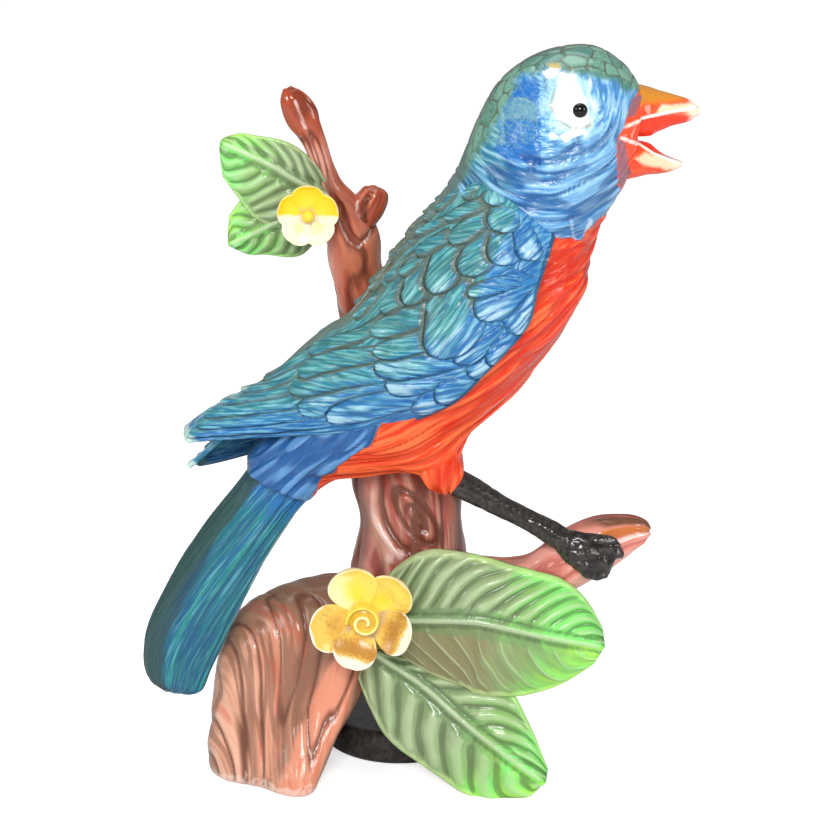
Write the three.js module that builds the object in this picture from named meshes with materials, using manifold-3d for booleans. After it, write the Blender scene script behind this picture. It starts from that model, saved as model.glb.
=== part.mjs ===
// Ceramic bird figurine: a bluebird with an open bill on a flowering tree stump.
// Millimetres, +Z up, X to the bird's right-hand view (the bill points along +X).
// The bird's median plane is the XZ plane of the figurine group, and the viewer stands at -Y.
// The origin of the whole part is the middle of the foot disc's resting face.

import * as THREE from 'three';
import { mergeVertices } from 'three/addons/utils/BufferGeometryUtils.js';
import Module from 'manifold-3d';

const wasm = await Module();
wasm.setup();

// Driving dimensions

const seatGap = 0.3;            // glaze line left between two luted pieces

const footRadius = 21.5;        // black foot disc
const footHeight = 9;
const footSetback = 28.5;       // from the bird's median plane back to the disc's centre
const footEdge = 1.6;           // rounding of the disc's rims

const bodyWidth = 43;           // across the breast, wing to wing
const thighRadius = 7;
const eyeRadius = 1.9;
const wingLift = 2.2;           // how far a wing stands proud of the flank
const wingThickness = 3.4;      // of the free blade behind the rump
const featherLift = 1.0;        // step at the tip of each feather tier
const featherScallop = 0.016;   // depth of the rounded feather ends, as a share of wing length
const farWingDrop = 10.8;       // the far wing's tip hangs this much lower than the near one's
const tailThickness = 11;       // across the tail, at its root
const tailRib = 0.35;           // height of the lengthwise tail feathers

const legRadius = 2.7;
const toeRadius = 1.9;
const nearLegSide = 8;          // from the median plane to the near leg
const legSpacing = 13;          // from the near leg to the far leg
const hipHeight = 85.5;         // middle of the near leg where it leaves the thigh
const legSpacingDrop = 3.7;     // the far leg stands lower, on the back of the perch

const barkDepth = 0.07;         // relief of the bark, as a share of the branch's radius
const rootReach = 9.5;          // how far the front root runs out of the stump
const branchJoint = 112;        // height of the luted joint between trunk and upper branch

const leafThickness = 2.2;
const veinHeight = 0.55;
const petalThickness = 1.7;
const petalLength = 14;
const petalWidth = 12.5;
const budRadius = 4.4;
const budTurns = 1.6;           // turns of the rolled inner petals
const upperPetalLength = 8.2;
const upperPetalWidth = 8.6;
const upperBeadRadius = 1.5;

const AXIS_Y = new THREE.Vector3(0, 1, 0);

// Curves through lists of values, read at a share t of the list's length

function curveThrough(points) {
  return new THREE.CatmullRomCurve3(points, false, 'catmullrom', 0.5);
}

function valueCurve(values) {
  const curve = curveThrough(values.map((value) => new THREE.Vector3(value, 0, 0)));
  return (t) => curve.getPoint(THREE.MathUtils.clamp(t, 0, 1)).x;
}

function pointCurve(points) {
  const curve = curveThrough(points.map(([x, y, z]) => new THREE.Vector3(x, y, z)));
  return (t) => curve.getPoint(THREE.MathUtils.clamp(t, 0, 1));
}

// Closed bodies: a lofted limb with a pole at each end, and a slab between two surfaces

function loft(rings, sides, surface) {
  const positions = [];
  const index = [];
  for (let ring = 0; ring <= rings; ring += 1) {
    for (let side = 0; side < sides; side += 1) {
      const point = surface(ring / rings, (side / sides) * 2 * Math.PI);
      positions.push(point.x, point.y, point.z);
    }
  }
  const pole = (ring) => {
    const centre = new THREE.Vector3();
    for (let side = 0; side < sides; side += 1) {
      centre.add(surface(ring / rings, (side / sides) * 2 * Math.PI));
    }
    centre.divideScalar(sides);
    positions.push(centre.x, centre.y, centre.z);
    return positions.length / 3 - 1;
  };
  const first = pole(0);
  const last = pole(rings);
  for (let side = 0; side < sides; side += 1) {
    const next = (side + 1) % sides;
    for (let ring = 0; ring < rings; ring += 1) {
      const a = ring * sides + side;
      const b = ring * sides + next;
      index.push(a, b, b + sides, a, b + sides, a + sides);
    }
    index.push(first, next, side);
    index.push(last, rings * sides + side, rings * sides + next);
  }
  return outward(positions, index);
}

function slab(rows, columns, front, back) {
  const positions = [];
  const index = [];
  const width = columns + 1;
  const sheet = (rows + 1) * width;
  for (const surface of [front, back]) {
    for (let row = 0; row <= rows; row += 1) {
      for (let column = 0; column <= columns; column += 1) {
        const point = surface(row / rows, column / columns, row, column);
        positions.push(point.x, point.y, point.z);
      }
    }
  }
  const quad = (a, b, c, d) => index.push(a, b, c, a, c, d);
  for (let row = 0; row < rows; row += 1) {
    for (let column = 0; column < columns; column += 1) {
      const a = row * width + column;
      quad(a, a + 1, a + 1 + width, a + width);
      quad(sheet + a, sheet + a + width, sheet + a + 1 + width, sheet + a + 1);
    }
  }
  for (let row = 0; row < rows; row += 1) {
    const left = row * width;
    const right = left + columns;
    quad(left, left + width, sheet + left + width, sheet + left);
    quad(right + width, right, sheet + right, sheet + right + width);
  }
  for (let column = 0; column < columns; column += 1) {
    const top = column;
    const bottom = rows * width + column;
    quad(top + 1, top, sheet + top, sheet + top + 1);
    quad(bottom, bottom + 1, sheet + bottom + 1, sheet + bottom);
  }
  return outward(positions, index);
}

function outward(positions, index) {
  let volume = 0;
  const at = (i) => new THREE.Vector3().fromArray(positions, index[i] * 3);
  for (let i = 0; i < index.length; i += 3) {
    volume += at(i).dot(at(i + 1).cross(at(i + 2)));
  }
  if (volume < 0) {
    index.reverse();
  }
  const geometry = new THREE.BufferGeometry();
  geometry.setAttribute('position', new THREE.Float32BufferAttribute(positions, 3));
  geometry.setIndex(index);
  geometry.computeVertexNormals();
  return geometry;
}

// Joining and cutting

function welded(geometry) {
  const bare = geometry.clone();
  bare.deleteAttribute('normal');
  bare.deleteAttribute('uv');
  return mergeVertices(bare, 1e-4);
}

function solidOf(geometry) {
  const bare = welded(geometry);
  return new wasm.Manifold(new wasm.Mesh({
    numProp: 3,
    vertProperties: Float32Array.from(bare.attributes.position.array),
    triVerts: Uint32Array.from(bare.index.array),
  }));
}

function geometryOf(solid) {
  const mesh = solid.getMesh();
  const geometry = new THREE.BufferGeometry();
  geometry.setAttribute('position', new THREE.BufferAttribute(mesh.vertProperties, 3));
  geometry.setIndex(new THREE.BufferAttribute(mesh.triVerts, 1));
  geometry.computeVertexNormals();
  return geometry;
}

// The same shape with every wall moved out by a clearance. A corner goes out along its mitre,
// which is found by pushing it clear of each of its walls in turn.
function swollen(geometry, clearance) {
  const grown = welded(geometry);
  const { position } = grown.attributes;
  const walls = Array.from({ length: position.count }, () => []);
  const corner = (i) => new THREE.Vector3().fromBufferAttribute(position, i);
  for (let i = 0; i < grown.index.count; i += 3) {
    const [a, b, c] = [0, 1, 2].map((k) => grown.index.getX(i + k));
    const normal = new THREE.Triangle(corner(a), corner(b), corner(c)).getNormal(new THREE.Vector3());
    if (normal.lengthSq() > 0.5) {
      [a, b, c].forEach((vertex) => walls[vertex].push(normal));
    }
  }
  const mitreLimit = 3 * clearance;
  const passes = 12;
  for (let i = 0; i < position.count; i += 1) {
    const shift = new THREE.Vector3();
    for (let pass = 0; pass < passes; pass += 1) {
      walls[i].forEach((wall) => shift.addScaledVector(wall, Math.max(0, clearance - shift.dot(wall))));
    }
    shift.clampLength(0, mitreLimit);
    position.setXYZ(i, position.getX(i) + shift.x, position.getY(i) + shift.y, position.getZ(i) + shift.z);
  }
  return grown;
}

function joined(geometries) {
  return geometryOf(geometries.map(solidOf).reduce((whole, piece) => whole.add(piece)));
}

// Cuts a piece clear of its neighbours and keeps its main body
function seated(geometry, neighbours) {
  const cut = neighbours.reduce(
    (rest, neighbour) => rest
      .subtract(solidOf(swollen(neighbour, seatGap)))
      .subtract(solidOf(neighbour)),
    solidOf(geometry),
  );
  const bodies = cut.decompose();
  return geometryOf(bodies.reduce((main, body) => (body.volume() > main.volume() ? body : main)));
}

function keptWithin(geometry, limit) {
  return geometryOf(solidOf(geometry).intersect(solidOf(limit)));
}

// A box far larger than the figurine, filling everything above or below a height
function halfSpace(height, above) {
  const reach = 600;
  const box = new THREE.BoxGeometry(reach, reach, reach);
  box.translate(0, 0, height + (above ? reach : -reach) / 2);
  return box;
}

// A round limb along a spine. A station is [x, y, z, half-width in the picture plane, half-depth].
function limb(stations, sides, rings, relief = () => 1) {
  const spine = pointCurve(stations);
  const halfWidth = valueCurve(stations.map((station) => station[3]));
  const halfDepth = valueCurve(stations.map((station) => station[4] ?? station[3]));
  return loft(rings, sides, (t, angle) => {
    const step = 0.01;
    const tangent = spine(t + step).sub(spine(t - step)).normalize();
    const across = new THREE.Vector3().crossVectors(AXIS_Y, tangent).normalize();
    const depth = new THREE.Vector3().crossVectors(tangent, across);
    const scale = relief(t, angle);
    return spine(t)
      .addScaledVector(across, halfWidth(t) * scale * Math.cos(angle))
      .addScaledVector(depth, halfDepth(t) * scale * Math.sin(angle));
  });
}

// A limb given by its outline. A station is [x, z] on one edge, [x, z] on the other, half-depth.
function outlineSurface(stations, bulge = () => 1) {
  const upper = pointCurve(stations.map(([x, z]) => [x, 0, z]));
  const lower = pointCurve(stations.map((station) => [station[2], 0, station[3]]));
  const halfDepth = valueCurve(stations.map((station) => station[4]));
  return (t, angle) => {
    const high = upper(t);
    const low = lower(t);
    const centre = high.clone().add(low).multiplyScalar(0.5);
    const reach = high.sub(centre);
    const scale = bulge(t, angle);
    centre.addScaledVector(reach, Math.cos(angle) * scale);
    centre.y += halfDepth(t) * Math.sin(angle) * scale;
    return centre;
  };
}

// Bird: one hollow casting for head, body and thighs

const bodyStations = [
  [57, 172, 56.5, 165, 0.18],
  [57.9, 177, 55.6, 160, 0.37],
  [57.2, 181, 54.2, 156.4, 0.49],
  [52.9, 186.3, 51.8, 152.3, 0.67],
  [45.3, 189.9, 50.2, 148.8, 0.79],
  [34.2, 188.2, 48.6, 145, 0.84],
  [25.1, 182.2, 47.5, 140.8, 0.85],
  [19.8, 173.7, 47, 137, 0.83],
  [15.2, 162.5, 46.2, 132.5, 0.84],
  [10.6, 154, 44.5, 128, 0.9],
  [3.8, 145.3, 40.3, 120, 0.98],
  [-3.6, 134.7, 35, 113, 1],
  [-10.5, 124.4, 29, 105, 0.99],
  [-17, 116, 19.5, 96, 0.93],
  [-23.5, 106.5, 10.5, 87.5, 0.79],
  [-31.5, 98.5, -3.5, 84.2, 0.6],
  [-37, 91, -15.6, 82.4, 0.45],
  [-38.5, 85, -22.2, 77.2, 0.37],
].map(([x1, z1, x2, z2, share]) => [x1, z1, x2, z2, (share * bodyWidth) / 2]);
const bodySurface = outlineSurface(bodyStations);

function birdBody() {
  const trunk = loft(28, 18, bodySurface);
  const thigh = (side) => limb([
    [4, side * 7, 96, thighRadius * 0.5],
    [8, side * 7, hipHeight + 6.5, thighRadius],
    [12, side * 6.5, hipHeight + 1.5, thighRadius * 0.9],
    [14.5, side * 6.5, hipHeight - 2, thighRadius * 0.55],
  ], 8, 6);
  return joined([trunk, thigh(-1), thigh(1)]);
}

// Wings: three tiers of scale-like coverts, then long secondaries and primaries.
// A station is the upper edge, the lower edge, the half-width as a share of the body's and the
// angle in degrees that the wing wraps round the flank.

const wingStations = [
  [16.6, 162.8, 37, 147, 0.85, 100],
  [10.4, 154, 35.5, 143, 0.94, 105],
  [3.4, 145.6, 33, 135, 1.02, 110],
  [-4.4, 135, 30.5, 126, 1.05, 112],
  [-12.2, 125, 21, 115, 1.05, 112],
  [-21, 119.5, 11.5, 106, 0.98, 115],
  [-31.5, 110, -6.5, 98.5, 0.74, 120],
  [-40, 105, -24, 96.5, 0.56, 125],
  [-47.6, 100.8, -39, 95.3, 0.44, 130],
  [-53.6, 96.4, -51, 94, 0.37, 135],
];
const featherTips = [0.09, 0.18, 0.27, 0.36, 0.45, 0.54, 0.64, 0.76, 0.88, 1];
const feathersAcross = 5;
const columnsPerFeather = 3;
const ringsPerTier = 2;

// The surface of one wing: s runs from shoulder to tip, v from the back's midline to the lower edge
function wingSurface(side) {
  const upper = pointCurve(wingStations.map(([x, z]) => [x, 0, z]));
  const lower = pointCurve(wingStations.map((station) => [station[2], 0, station[3]]));
  const lateral = valueCurve(wingStations.map((station) => (station[4] * bodyWidth) / 2 + wingLift));
  const wrap = valueCurve(wingStations.map((station) => THREE.MathUtils.degToRad(station[5])));
  const midlineGap = 0.06;

  const place = (s, v, lift) => {
    const full = wrap(s);
    const angle = midlineGap + v * (full - midlineGap);
    const high = upper(s);
    const chord = lower(s).sub(high);
    const reach = chord.length();
    const share = (1 - Math.cos(angle)) / (1 - Math.cos(full));
    const drop = side > 0 ? farWingDrop * THREE.MathUtils.smoothstep(s, 0.45, 1) : 0;
    const lean = share - (lift * Math.cos(angle)) / reach;
    const point = high.addScaledVector(chord, lean);
    point.y = side * (lateral(s) + lift) * Math.sin(angle);
    point.z -= drop;
    return point;
  };
  return place;
}

// One ring of the loft runs over the feathers and back along the inside of the blade
function wingLoft(side, rows, columns, rowPlace) {
  const place = wingSurface(side);
  const insidePoints = 4;
  const ringPoints = columns + 1 + insidePoints;
  return loft(rows, ringPoints, (t, angle) => {
    const row = Math.round(t * rows);
    const point = Math.round((angle / (2 * Math.PI)) * ringPoints);
    if (point <= columns) {
      const { s, lift } = rowPlace(row, point);
      return place(s, point / columns, lift);
    }
    const v = 1 - (point - columns - 0.5) / insidePoints;
    const { s } = rowPlace(row, Math.round(v * columns));
    return place(s, v, -wingThickness * (1 - 0.55 * s));
  });
}

function wing(side) {
  const rowPlace = (row, column) => {
    const tier = Math.min(Math.floor(row / ringsPerTier), featherTips.length - 1);
    const within = row - tier * ringsPerTier;
    const from = tier === 0 ? 0 : featherTips[tier - 1];
    const to = featherTips[tier];
    const phase = (column / columnsPerFeather + (tier % 2) / 2) * 2 * Math.PI;
    const previousPhase = phase + Math.PI;
    const startShift = tier === 0 ? 0 : featherScallop * (Math.cos(previousPhase) - 1) + 0.004;
    const endShift = tier === featherTips.length - 1 ? 0 : featherScallop * (Math.cos(phase) - 1);
    const along = within / (ringsPerTier - 1);
    const s = THREE.MathUtils.lerp(from + startShift, to + endShift, along);
    const crown = 0.6 + 0.4 * Math.cos(phase);
    const flush = Math.min(1, 0.3 + column / columnsPerFeather);
    return { s: THREE.MathUtils.clamp(s, 0, 1), lift: featherLift * along * crown * flush };
  };

  const rows = featherTips.length * ringsPerTier - 1;
  return wingLoft(side, rows, feathersAcross * columnsPerFeather, rowPlace);
}

// Tail: a separate pressed blade with lengthwise feathers

const tailStations = [
  [-37.5, 85.5, -22, 77.5, 1],
  [-41, 80.5, -26.2, 72.4, 0.98],
  [-47.8, 72, -32.1, 63.3, 0.93],
  [-54.3, 62.8, -37.1, 54.3, 0.85],
  [-59.8, 53.3, -42.1, 44.3, 0.76],
  [-64.2, 45, -45.4, 37, 0.67],
  [-66.2, 36.8, -48.5, 30.6, 0.6],
  [-65.4, 28.8, -51, 24.8, 0.48],
  [-61, 24.6, -54.4, 23.4, 0.22],
].map(([x1, z1, x2, z2, share]) => [x1, z1, x2, z2, (share * tailThickness) / 2]);

function tail() {
  const ribs = 9;
  const blade = outlineSurface(tailStations, (t, angle) => {
    const flank = Math.abs(Math.sin(angle));
    return 1 + (tailRib / tailThickness) * flank * Math.cos(ribs * Math.cos(angle) * Math.PI);
  });
  return loft(13, 20, blade);
}

// Bill: two mandibles, open

function mandible(stations) {
  return loft(7, 10, outlineSurface(stations));
}

const upperBill = mandible([
  [51, 179.8, 50, 168, 6.5],
  [57, 180.6, 57, 167.6, 6.4],
  [60, 180, 60.7, 167.7, 5.4],
  [62.6, 179.2, 62.5, 168.7, 4.8],
  [66, 178.3, 66, 170.1, 3.6],
  [69.7, 177, 69.7, 171.7, 2.4],
  [72.3, 175.1, 72.3, 173.4, 1.1],
]);
const lowerBill = mandible([
  [48, 168, 48, 158.2, 6],
  [54, 168.1, 54, 157.7, 6],
  [58, 167.8, 57.6, 158.3, 5.2],
  [60.9, 167.1, 60.2, 158.9, 4.5],
  [63, 165.5, 63, 159.2, 3.7],
  [65.8, 163.6, 66, 159.8, 2.6],
  [68.6, 162.1, 68.5, 160.9, 0.9],
]);

// Eyes: enamel drops on the cheeks

function eye(side) {
  const drop = new THREE.SphereGeometry(eyeRadius, 10, 8);
  const seat = bodySurface(0.262, side * Math.PI * 0.385);
  drop.translate(seat.x, seat.y - side * eyeRadius * 0.3, seat.z);
  return drop;
}

// Legs: a shank from the thigh, with a sole and three toes pressed over the perch

function leg(side) {
  const y = side < 0 ? -nearLegSide : legSpacing - nearLegSide;
  const hip = side < 0 ? hipHeight : hipHeight - legSpacingDrop;
  const ankleX = 39;
  const ankle = hip - 15;
  const shank = limb([
    [10, y + 1, hip, legRadius * 1.35],
    [18, y + 0.5, hip - 3.9, legRadius * 1.25],
    [25.5, y, hip - 8.1, legRadius * 1.03],
    [33, y - 0.8, hip - 11.8, legRadius],
    [ankleX, y - 2, ankle, legRadius * 1.15],
    [ankleX + 4, y - 3, ankle - 2.5, legRadius * 0.9],
  ], 8, 8);
  const sole = limb([
    [ankleX - 0.5, y - 2.4, ankle - 0.1, toeRadius, toeRadius],
    [ankleX + 4, y - 3.4, ankle - 2.7, toeRadius * 2.4, toeRadius * 0.9],
    [ankleX + 8.5, y - 4.2, ankle - 5.3, toeRadius * 2.7, toeRadius * 0.8],
    [ankleX + 11.6, y - 4.4, ankle - 6.7, toeRadius * 2.3, toeRadius * 0.5],
  ], 8, 4);
  const toe = (reachX, reachY, fall) => limb([
    [ankleX, y - 2.5, ankle - 0.1, toeRadius],
    [ankleX + reachX / 2, y - 1.7 - reachY / 2, ankle + 0.85 - fall / 2, toeRadius * 1.15],
    [ankleX + reachX, y - reachY, ankle - fall, toeRadius * 0.95],
    [ankleX + reachX + 1.1, y - reachY + 0.8, ankle - fall - 1.7, toeRadius * 0.3],
  ], 6, 4);
  return joined([
    shank,
    sole,
    toe(15, 3.6, 3.9),
    toe(12, 4.6, 6.7),
    toe(8.3, 4.6, 8.7),
  ]);
}

// Tree: a stump with a front root and a trunk that leans on behind the bird

function bark(furrows, twist) {
  return (t, angle) => 1 + barkDepth * (0.6 * Math.cos(furrows * angle + twist * t)
    + 0.4 * Math.cos((furrows - 2) * angle - 1.7 * twist * t));
}

const stemStations = [
  [8, 25, 6, 8, 9],
  [7, 22, 16, 9, 9.5],
  [4, 17, 30, 13, 11],
  [1, 13, 45, 15, 12.5],
  [3.2, 11, 59, 14.2, 12],
  [3.5, 11, 69, 13.1, 11],
  [2.3, 13, 80, 14.4, 11],
  [-1, 18, 90, 12, 9],
  [-4, 22, 102, 8.4, 7],
  [-8.1, 22.5, 118, 6.9, 6.4],
  [-11, 20, 132, 6.5, 6.2],
  [-11.8, 18, 140, 6.8, 5.8],
  [-13.9, 17, 147, 5.3, 4.6],
  [-17.1, 16, 154, 2.9, 3],
  [-19.2, 15, 160.5, 2.5, 2.6],
  [-21, 14, 166, 2.9, 2.8],
  [-23.6, 13, 171.5, 4.1, 3.2],
  [-26, 12, 176, 3.1, 2.4],
  [-27.2, 12, 178.6, 0.9, 0.8],
];

function stem() {
  return limb(stemStations, 12, 36, bark(5, 9));
}

// A station is [height, centre x, half-width, centre y, half-depth].
const stumpStations = [
  [-3, -35.5, 13.4, 6, 11.5],
  [3, -35.9, 15, 6, 12.5],
  [13, -33.7, 16.6, 7.5, 12.5],
  [21, -30.4, 19, 9, 12.5],
  [28, -27.4, 21.4, 9.5, 12.5],
  [35, -24.8, 22.2, 10, 12],
  [41, -20.8, 22.3, 10.5, 11.5],
  [46, -15.4, 21.6, 11, 10],
  [50, -10.4, 16.8, 11, 7.5],
  [52.2, -8, 9, 11, 4],
];

function stump() {
  const value = (column) => valueCurve(stumpStations.map((station) => station[column]));
  const [height, centreX, halfWidth, centreY, halfDepth] = [0, 1, 2, 3, 4].map(value);
  const relief = bark(9, 2);
  return loft(16, 24, (t, angle) => {
    const z = height(t);
    const rise = THREE.MathUtils.clamp(z / 40, 0, 1);
    const rootAngle = THREE.MathUtils.lerp(-1.05, -0.3, rise);
    const offset = Math.atan2(Math.sin(angle - rootAngle), Math.cos(angle - rootAngle));
    const root = rootReach * (1 - rise) * Math.exp(-((offset / 0.38) ** 2));
    const scale = relief(t, angle);
    return new THREE.Vector3(
      centreX(t) + (halfWidth(t) * scale + root) * Math.cos(angle),
      centreY(t) + (halfDepth(t) * scale + root) * Math.sin(angle),
      z,
    );
  });
}

function trunkShoulder() {
  return limb([
    [6, 12, 66, 4],
    [9, 11, 76, 6.5],
    [11, 10, 84, 6],
    [12.5, 10, 88.5, 3.5],
  ], 8, 6, bark(5, 3));
}

// Foot: a turned black disc under the trunk

function footDisc() {
  const edge = (x, z, from) => Array.from({ length: 3 }, (_, step) => {
    const angle = from + (step / 2) * (Math.PI / 2);
    return new THREE.Vector2(x + footEdge * Math.cos(angle), z + footEdge * Math.sin(angle));
  });
  const rimX = footRadius - footEdge;
  const profile = [
    new THREE.Vector2(0, 0),
    new THREE.Vector2(rimX, 0),
    ...edge(rimX, footEdge, -Math.PI / 2).slice(1),
    ...edge(rimX, footHeight - footEdge, 0),
    new THREE.Vector2(0, footHeight),
  ];
  const disc = new THREE.LatheGeometry(profile, 32);
  disc.rotateX(Math.PI / 2);
  disc.translate(0, footSetback, 0);
  return disc;
}

// Perch: a side branch with a blunt broken end

function perch() {
  return limb([
    [5, 9, 48, 7.5],
    [14, 8, 50.5, 7.3],
    [21, 5, 52.5, 7],
    [28.5, 1, 54, 6.6],
    [36, -2, 56.8, 6.6],
    [44.5, -4, 63, 7.2],
    [51, -5, 67.1, 6.8],
    [57, -5, 69.2, 5.1],
    [61.3, -5, 69.8, 3.4],
    [63.2, -5, 69.8, 1.2],
  ], 10, 18, bark(4, 5));
}

function stub() {
  return limb([
    [-12.5, 18, 142.5, 3.4],
    [-9.4, 17, 146.4, 4.3],
    [-7.1, 16, 149.4, 4.2],
    [-5.6, 15.5, 152.2, 3.4],
    [-5.1, 15.4, 153.5, 1.8],
  ], 8, 6, bark(4, 3));
}

// Leaves: pressed blades, pleated at the side veins and raised along the midrib.
// The midrib is a list of points; the two lists of widths run from stalk to tip.

function leaf({ midrib, upperWidths, lowerWidths, veins, sag, rows, columns }) {
  const rib = curveThrough(midrib.map(([x, y, z]) => new THREE.Vector3(x, y, z)));
  const line = (u) => rib.getPointAt(THREE.MathUtils.clamp(u, 0, 1));
  const upperWidth = valueCurve(upperWidths);
  const lowerWidth = valueCurve(lowerWidths);
  const surface = (u, v, depth) => {
    const step = 0.01;
    const tangent = line(u + step).sub(line(u - step));
    tangent.y = 0;
    tangent.normalize();
    const side = new THREE.Vector3(-tangent.z, 0, tangent.x);
    const across = 2 * v - 1;
    const width = across > 0 ? upperWidth(u) : lowerWidth(u);
    const edge = Math.abs(across);
    const pleat = Math.cos(2 * Math.PI * (veins * u - 1.6 * edge));
    const ridge = veinHeight * (Math.max(0, 1 - edge * 6) + 0.5 * pleat * Math.sin(Math.PI * edge));
    const point = line(u).addScaledVector(side, across * width);
    point.y += sag * edge * edge - ridge + depth * (1 - 0.5 * edge * edge);
    return point;
  };
  return slab(
    rows,
    columns,
    (u, v) => surface(u, v, 0),
    (u, v) => surface(u, v, leafThickness),
  );
}

const lowerLeafLarge = leaf({
  midrib: [[-5, -7.5, 47.5], [2.5, -10.5, 48], [17.5, -14, 49], [25.5, -15, 48], [36, -15, 45.5], [52, -13, 41.7]],
  upperWidths: [7, 14, 17.5, 17, 15.4, 15, 14.4, 10.2, 2.2],
  lowerWidths: [6, 13, 17.5, 19.8, 20.8, 20.1, 17.6, 13.2, 5.5],
  veins: 8,
  sag: 3.5,
  rows: 24,
  columns: 6,
});

const lowerLeafSmall = leaf({
  midrib: [[-7, -4, 37], [5.5, -7, 29.3], [14, -10, 22.6], [20.5, -12, 17.5], [31.5, -13.5, 9.2], [37.6, -14.5, 5.2]],
  upperWidths: [3, 6, 10, 13.8, 14.6, 13.7, 10.6, 6.8, 2.2],
  lowerWidths: [8, 13.5, 17.2, 18, 17.2, 16.5, 16, 13.5, 5],
  veins: 7,
  sag: 1.6,
  rows: 21,
  columns: 6,
});

const upperLeafLeft = leaf({
  midrib: [[-17, 14, 151.5], [-24.5, 10.5, 155.5], [-31.5, 9.5, 160], [-44, 11, 165.5]],
  upperWidths: [8.5, 13.4, 14, 9.8, 3.2],
  lowerWidths: [4, 6, 6.7, 4.2, 1.5],
  veins: 6,
  sag: 2,
  rows: 13,
  columns: 6,
});

const upperLeafLow = leaf({
  midrib: [[-17, 15, 150], [-25, 13, 147.8], [-33, 12.4, 144], [-42.8, 13, 139.2]],
  upperWidths: [6, 9, 10.5, 6, 1.8],
  lowerWidths: [5.2, 8.4, 10.6, 7.8, 2.4],
  veins: 5,
  sag: 2,
  rows: 12,
  columns: 6,
});

// Blossoms: petals cupped round a centre, each a rounded blade rooted under the bud.
// The turn is measured round the blossom from +X, and the tip's tilt is towards the viewer.

function petal({ centre, turn, base, length, width, tilt, cup, steps }) {
  const widest = 0.55;
  const outline = (u) => (u < widest
    ? THREE.MathUtils.lerp(0.45, 1, Math.sin((u / widest) * (Math.PI / 2)))
    : Math.sqrt(Math.max(0, 1 - ((u - widest) / (1.03 - widest)) ** 2)));
  const direction = new THREE.Vector3(Math.cos(turn), 0, Math.sin(turn));
  const side = new THREE.Vector3(-Math.sin(turn), 0, Math.cos(turn));
  const surface = (row, v, depth) => {
    const u = Math.sin((row * Math.PI) / 2);
    const across = 2 * v - 1;
    const bend = tilt * u;
    const point = centre.clone()
      .addScaledVector(direction, base + (length - base) * u * Math.cos(bend * 0.6))
      .addScaledVector(side, (across * outline(u) * width) / 2);
    point.y += -length * u * Math.sin(bend) * 0.7 - cup * across * across * outline(u)
      - cup * 0.6 * u * u + depth * (1 - 0.45 * across * across);
    return point;
  };
  return slab(steps, steps, (u, v) => surface(u, v, 0), (u, v) => surface(u, v, petalThickness));
}

const lowerBlossom = new THREE.Vector3(-8.5, -13.5, 50);
const lowerPetalTurns = [
  { name: 'lower_petal_top_left', turn: 109, size: 1, tilt: 0.12, back: 0 },
  { name: 'lower_petal_top_right', turn: 44, size: 1, tilt: 0.18, back: 0.2 },
  { name: 'lower_petal_right', turn: -22, size: 0.92, tilt: 0.62, back: 0 },
  { name: 'lower_petal_bottom', turn: -107, size: 0.9, tilt: 0.62, back: 0.2 },
  { name: 'lower_petal_left', turn: -166, size: 1, tilt: 0.4, back: 0.1 },
];

function lowerPetal({ turn, size, tilt, back }) {
  return petal({
    centre: lowerBlossom.clone().add(new THREE.Vector3(0, back, 0)),
    turn: THREE.MathUtils.degToRad(turn),
    base: budRadius * 0.6,
    length: petalLength * size,
    width: petalWidth * size,
    tilt,
    cup: 1.6,
    steps: 6,
  });
}

// The bud is a rolled ribbon: an Archimedean spiral wall on a rounded cup
function bud() {
  const cup = new THREE.SphereGeometry(budRadius * 0.92, 12, 8);
  cup.scale(1, 0.62, 1);
  cup.translate(lowerBlossom.x, lowerBlossom.y - 1.2, lowerBlossom.z);
  const inner = 0.9;
  const wall = 1;
  const surface = (u, v, outside) => {
    const angle = u * budTurns * 2 * Math.PI;
    const radius = inner + (budRadius - inner) * u + (outside ? wall / 2 : -wall / 2);
    return new THREE.Vector3(
      lowerBlossom.x + radius * Math.cos(angle - 0.5),
      lowerBlossom.y - 5.4 + 4.2 * v + 1.2 * u,
      lowerBlossom.z + radius * Math.sin(angle - 0.5),
    );
  };
  const ribbon = slab(22, 1, (u, v) => surface(u, v, true), (u, v) => surface(u, v, false));
  return joined([cup, ribbon]);
}

// A calyx runs from its root in the wood, measured from the blossom, to the back of the petals
function calyx(blossom, [rootX, rootY, rootZ], back, radius) {
  return limb([
    [blossom.x + rootX, blossom.y + rootY, blossom.z + rootZ, radius * 1.2],
    [blossom.x, blossom.y + back, blossom.z, radius],
  ], 8, 2);
}

const lowerCalyx = calyx(lowerBlossom, [0, 15.5, -1], 2, 3.4);

const upperBlossom = new THREE.Vector3(-22.2, 6.5, 147.8);
const upperCalyx = calyx(upperBlossom, [3.2, 7.5, 1.7], 1.1, 2);

function upperPetal(number) {
  return petal({
    centre: upperBlossom.clone().add(new THREE.Vector3(0, 0.25 * (number % 2), 0)),
    turn: (number / 5) * 2 * Math.PI + Math.PI / 2,
    base: upperBeadRadius * 0.7,
    length: upperPetalLength,
    width: upperPetalWidth,
    tilt: 0.2,
    cup: 0.7,
    steps: 4,
  });
}

function upperBead() {
  const bead = new THREE.SphereGeometry(upperBeadRadius, 10, 6);
  bead.translate(upperBlossom.x, upperBlossom.y - 1.2, upperBlossom.z);
  return bead;
}

// Assembly. Each piece is cut clear of the pieces that it is luted to, in the order of making.

const foot = footDisc();
const body = birdBody();
const nearWing = seated(wing(-1), [body]);
const farWing = seated(wing(1), [body, nearWing]);
const tailPiece = seated(tail(), [body, nearWing, farWing]);
const nearEye = seated(eye(-1), [body]);
const farEye = seated(eye(1), [body]);
const upperBillPiece = seated(upperBill, [body]);
const lowerBillPiece = seated(lowerBill, [body, upperBillPiece]);

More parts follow.
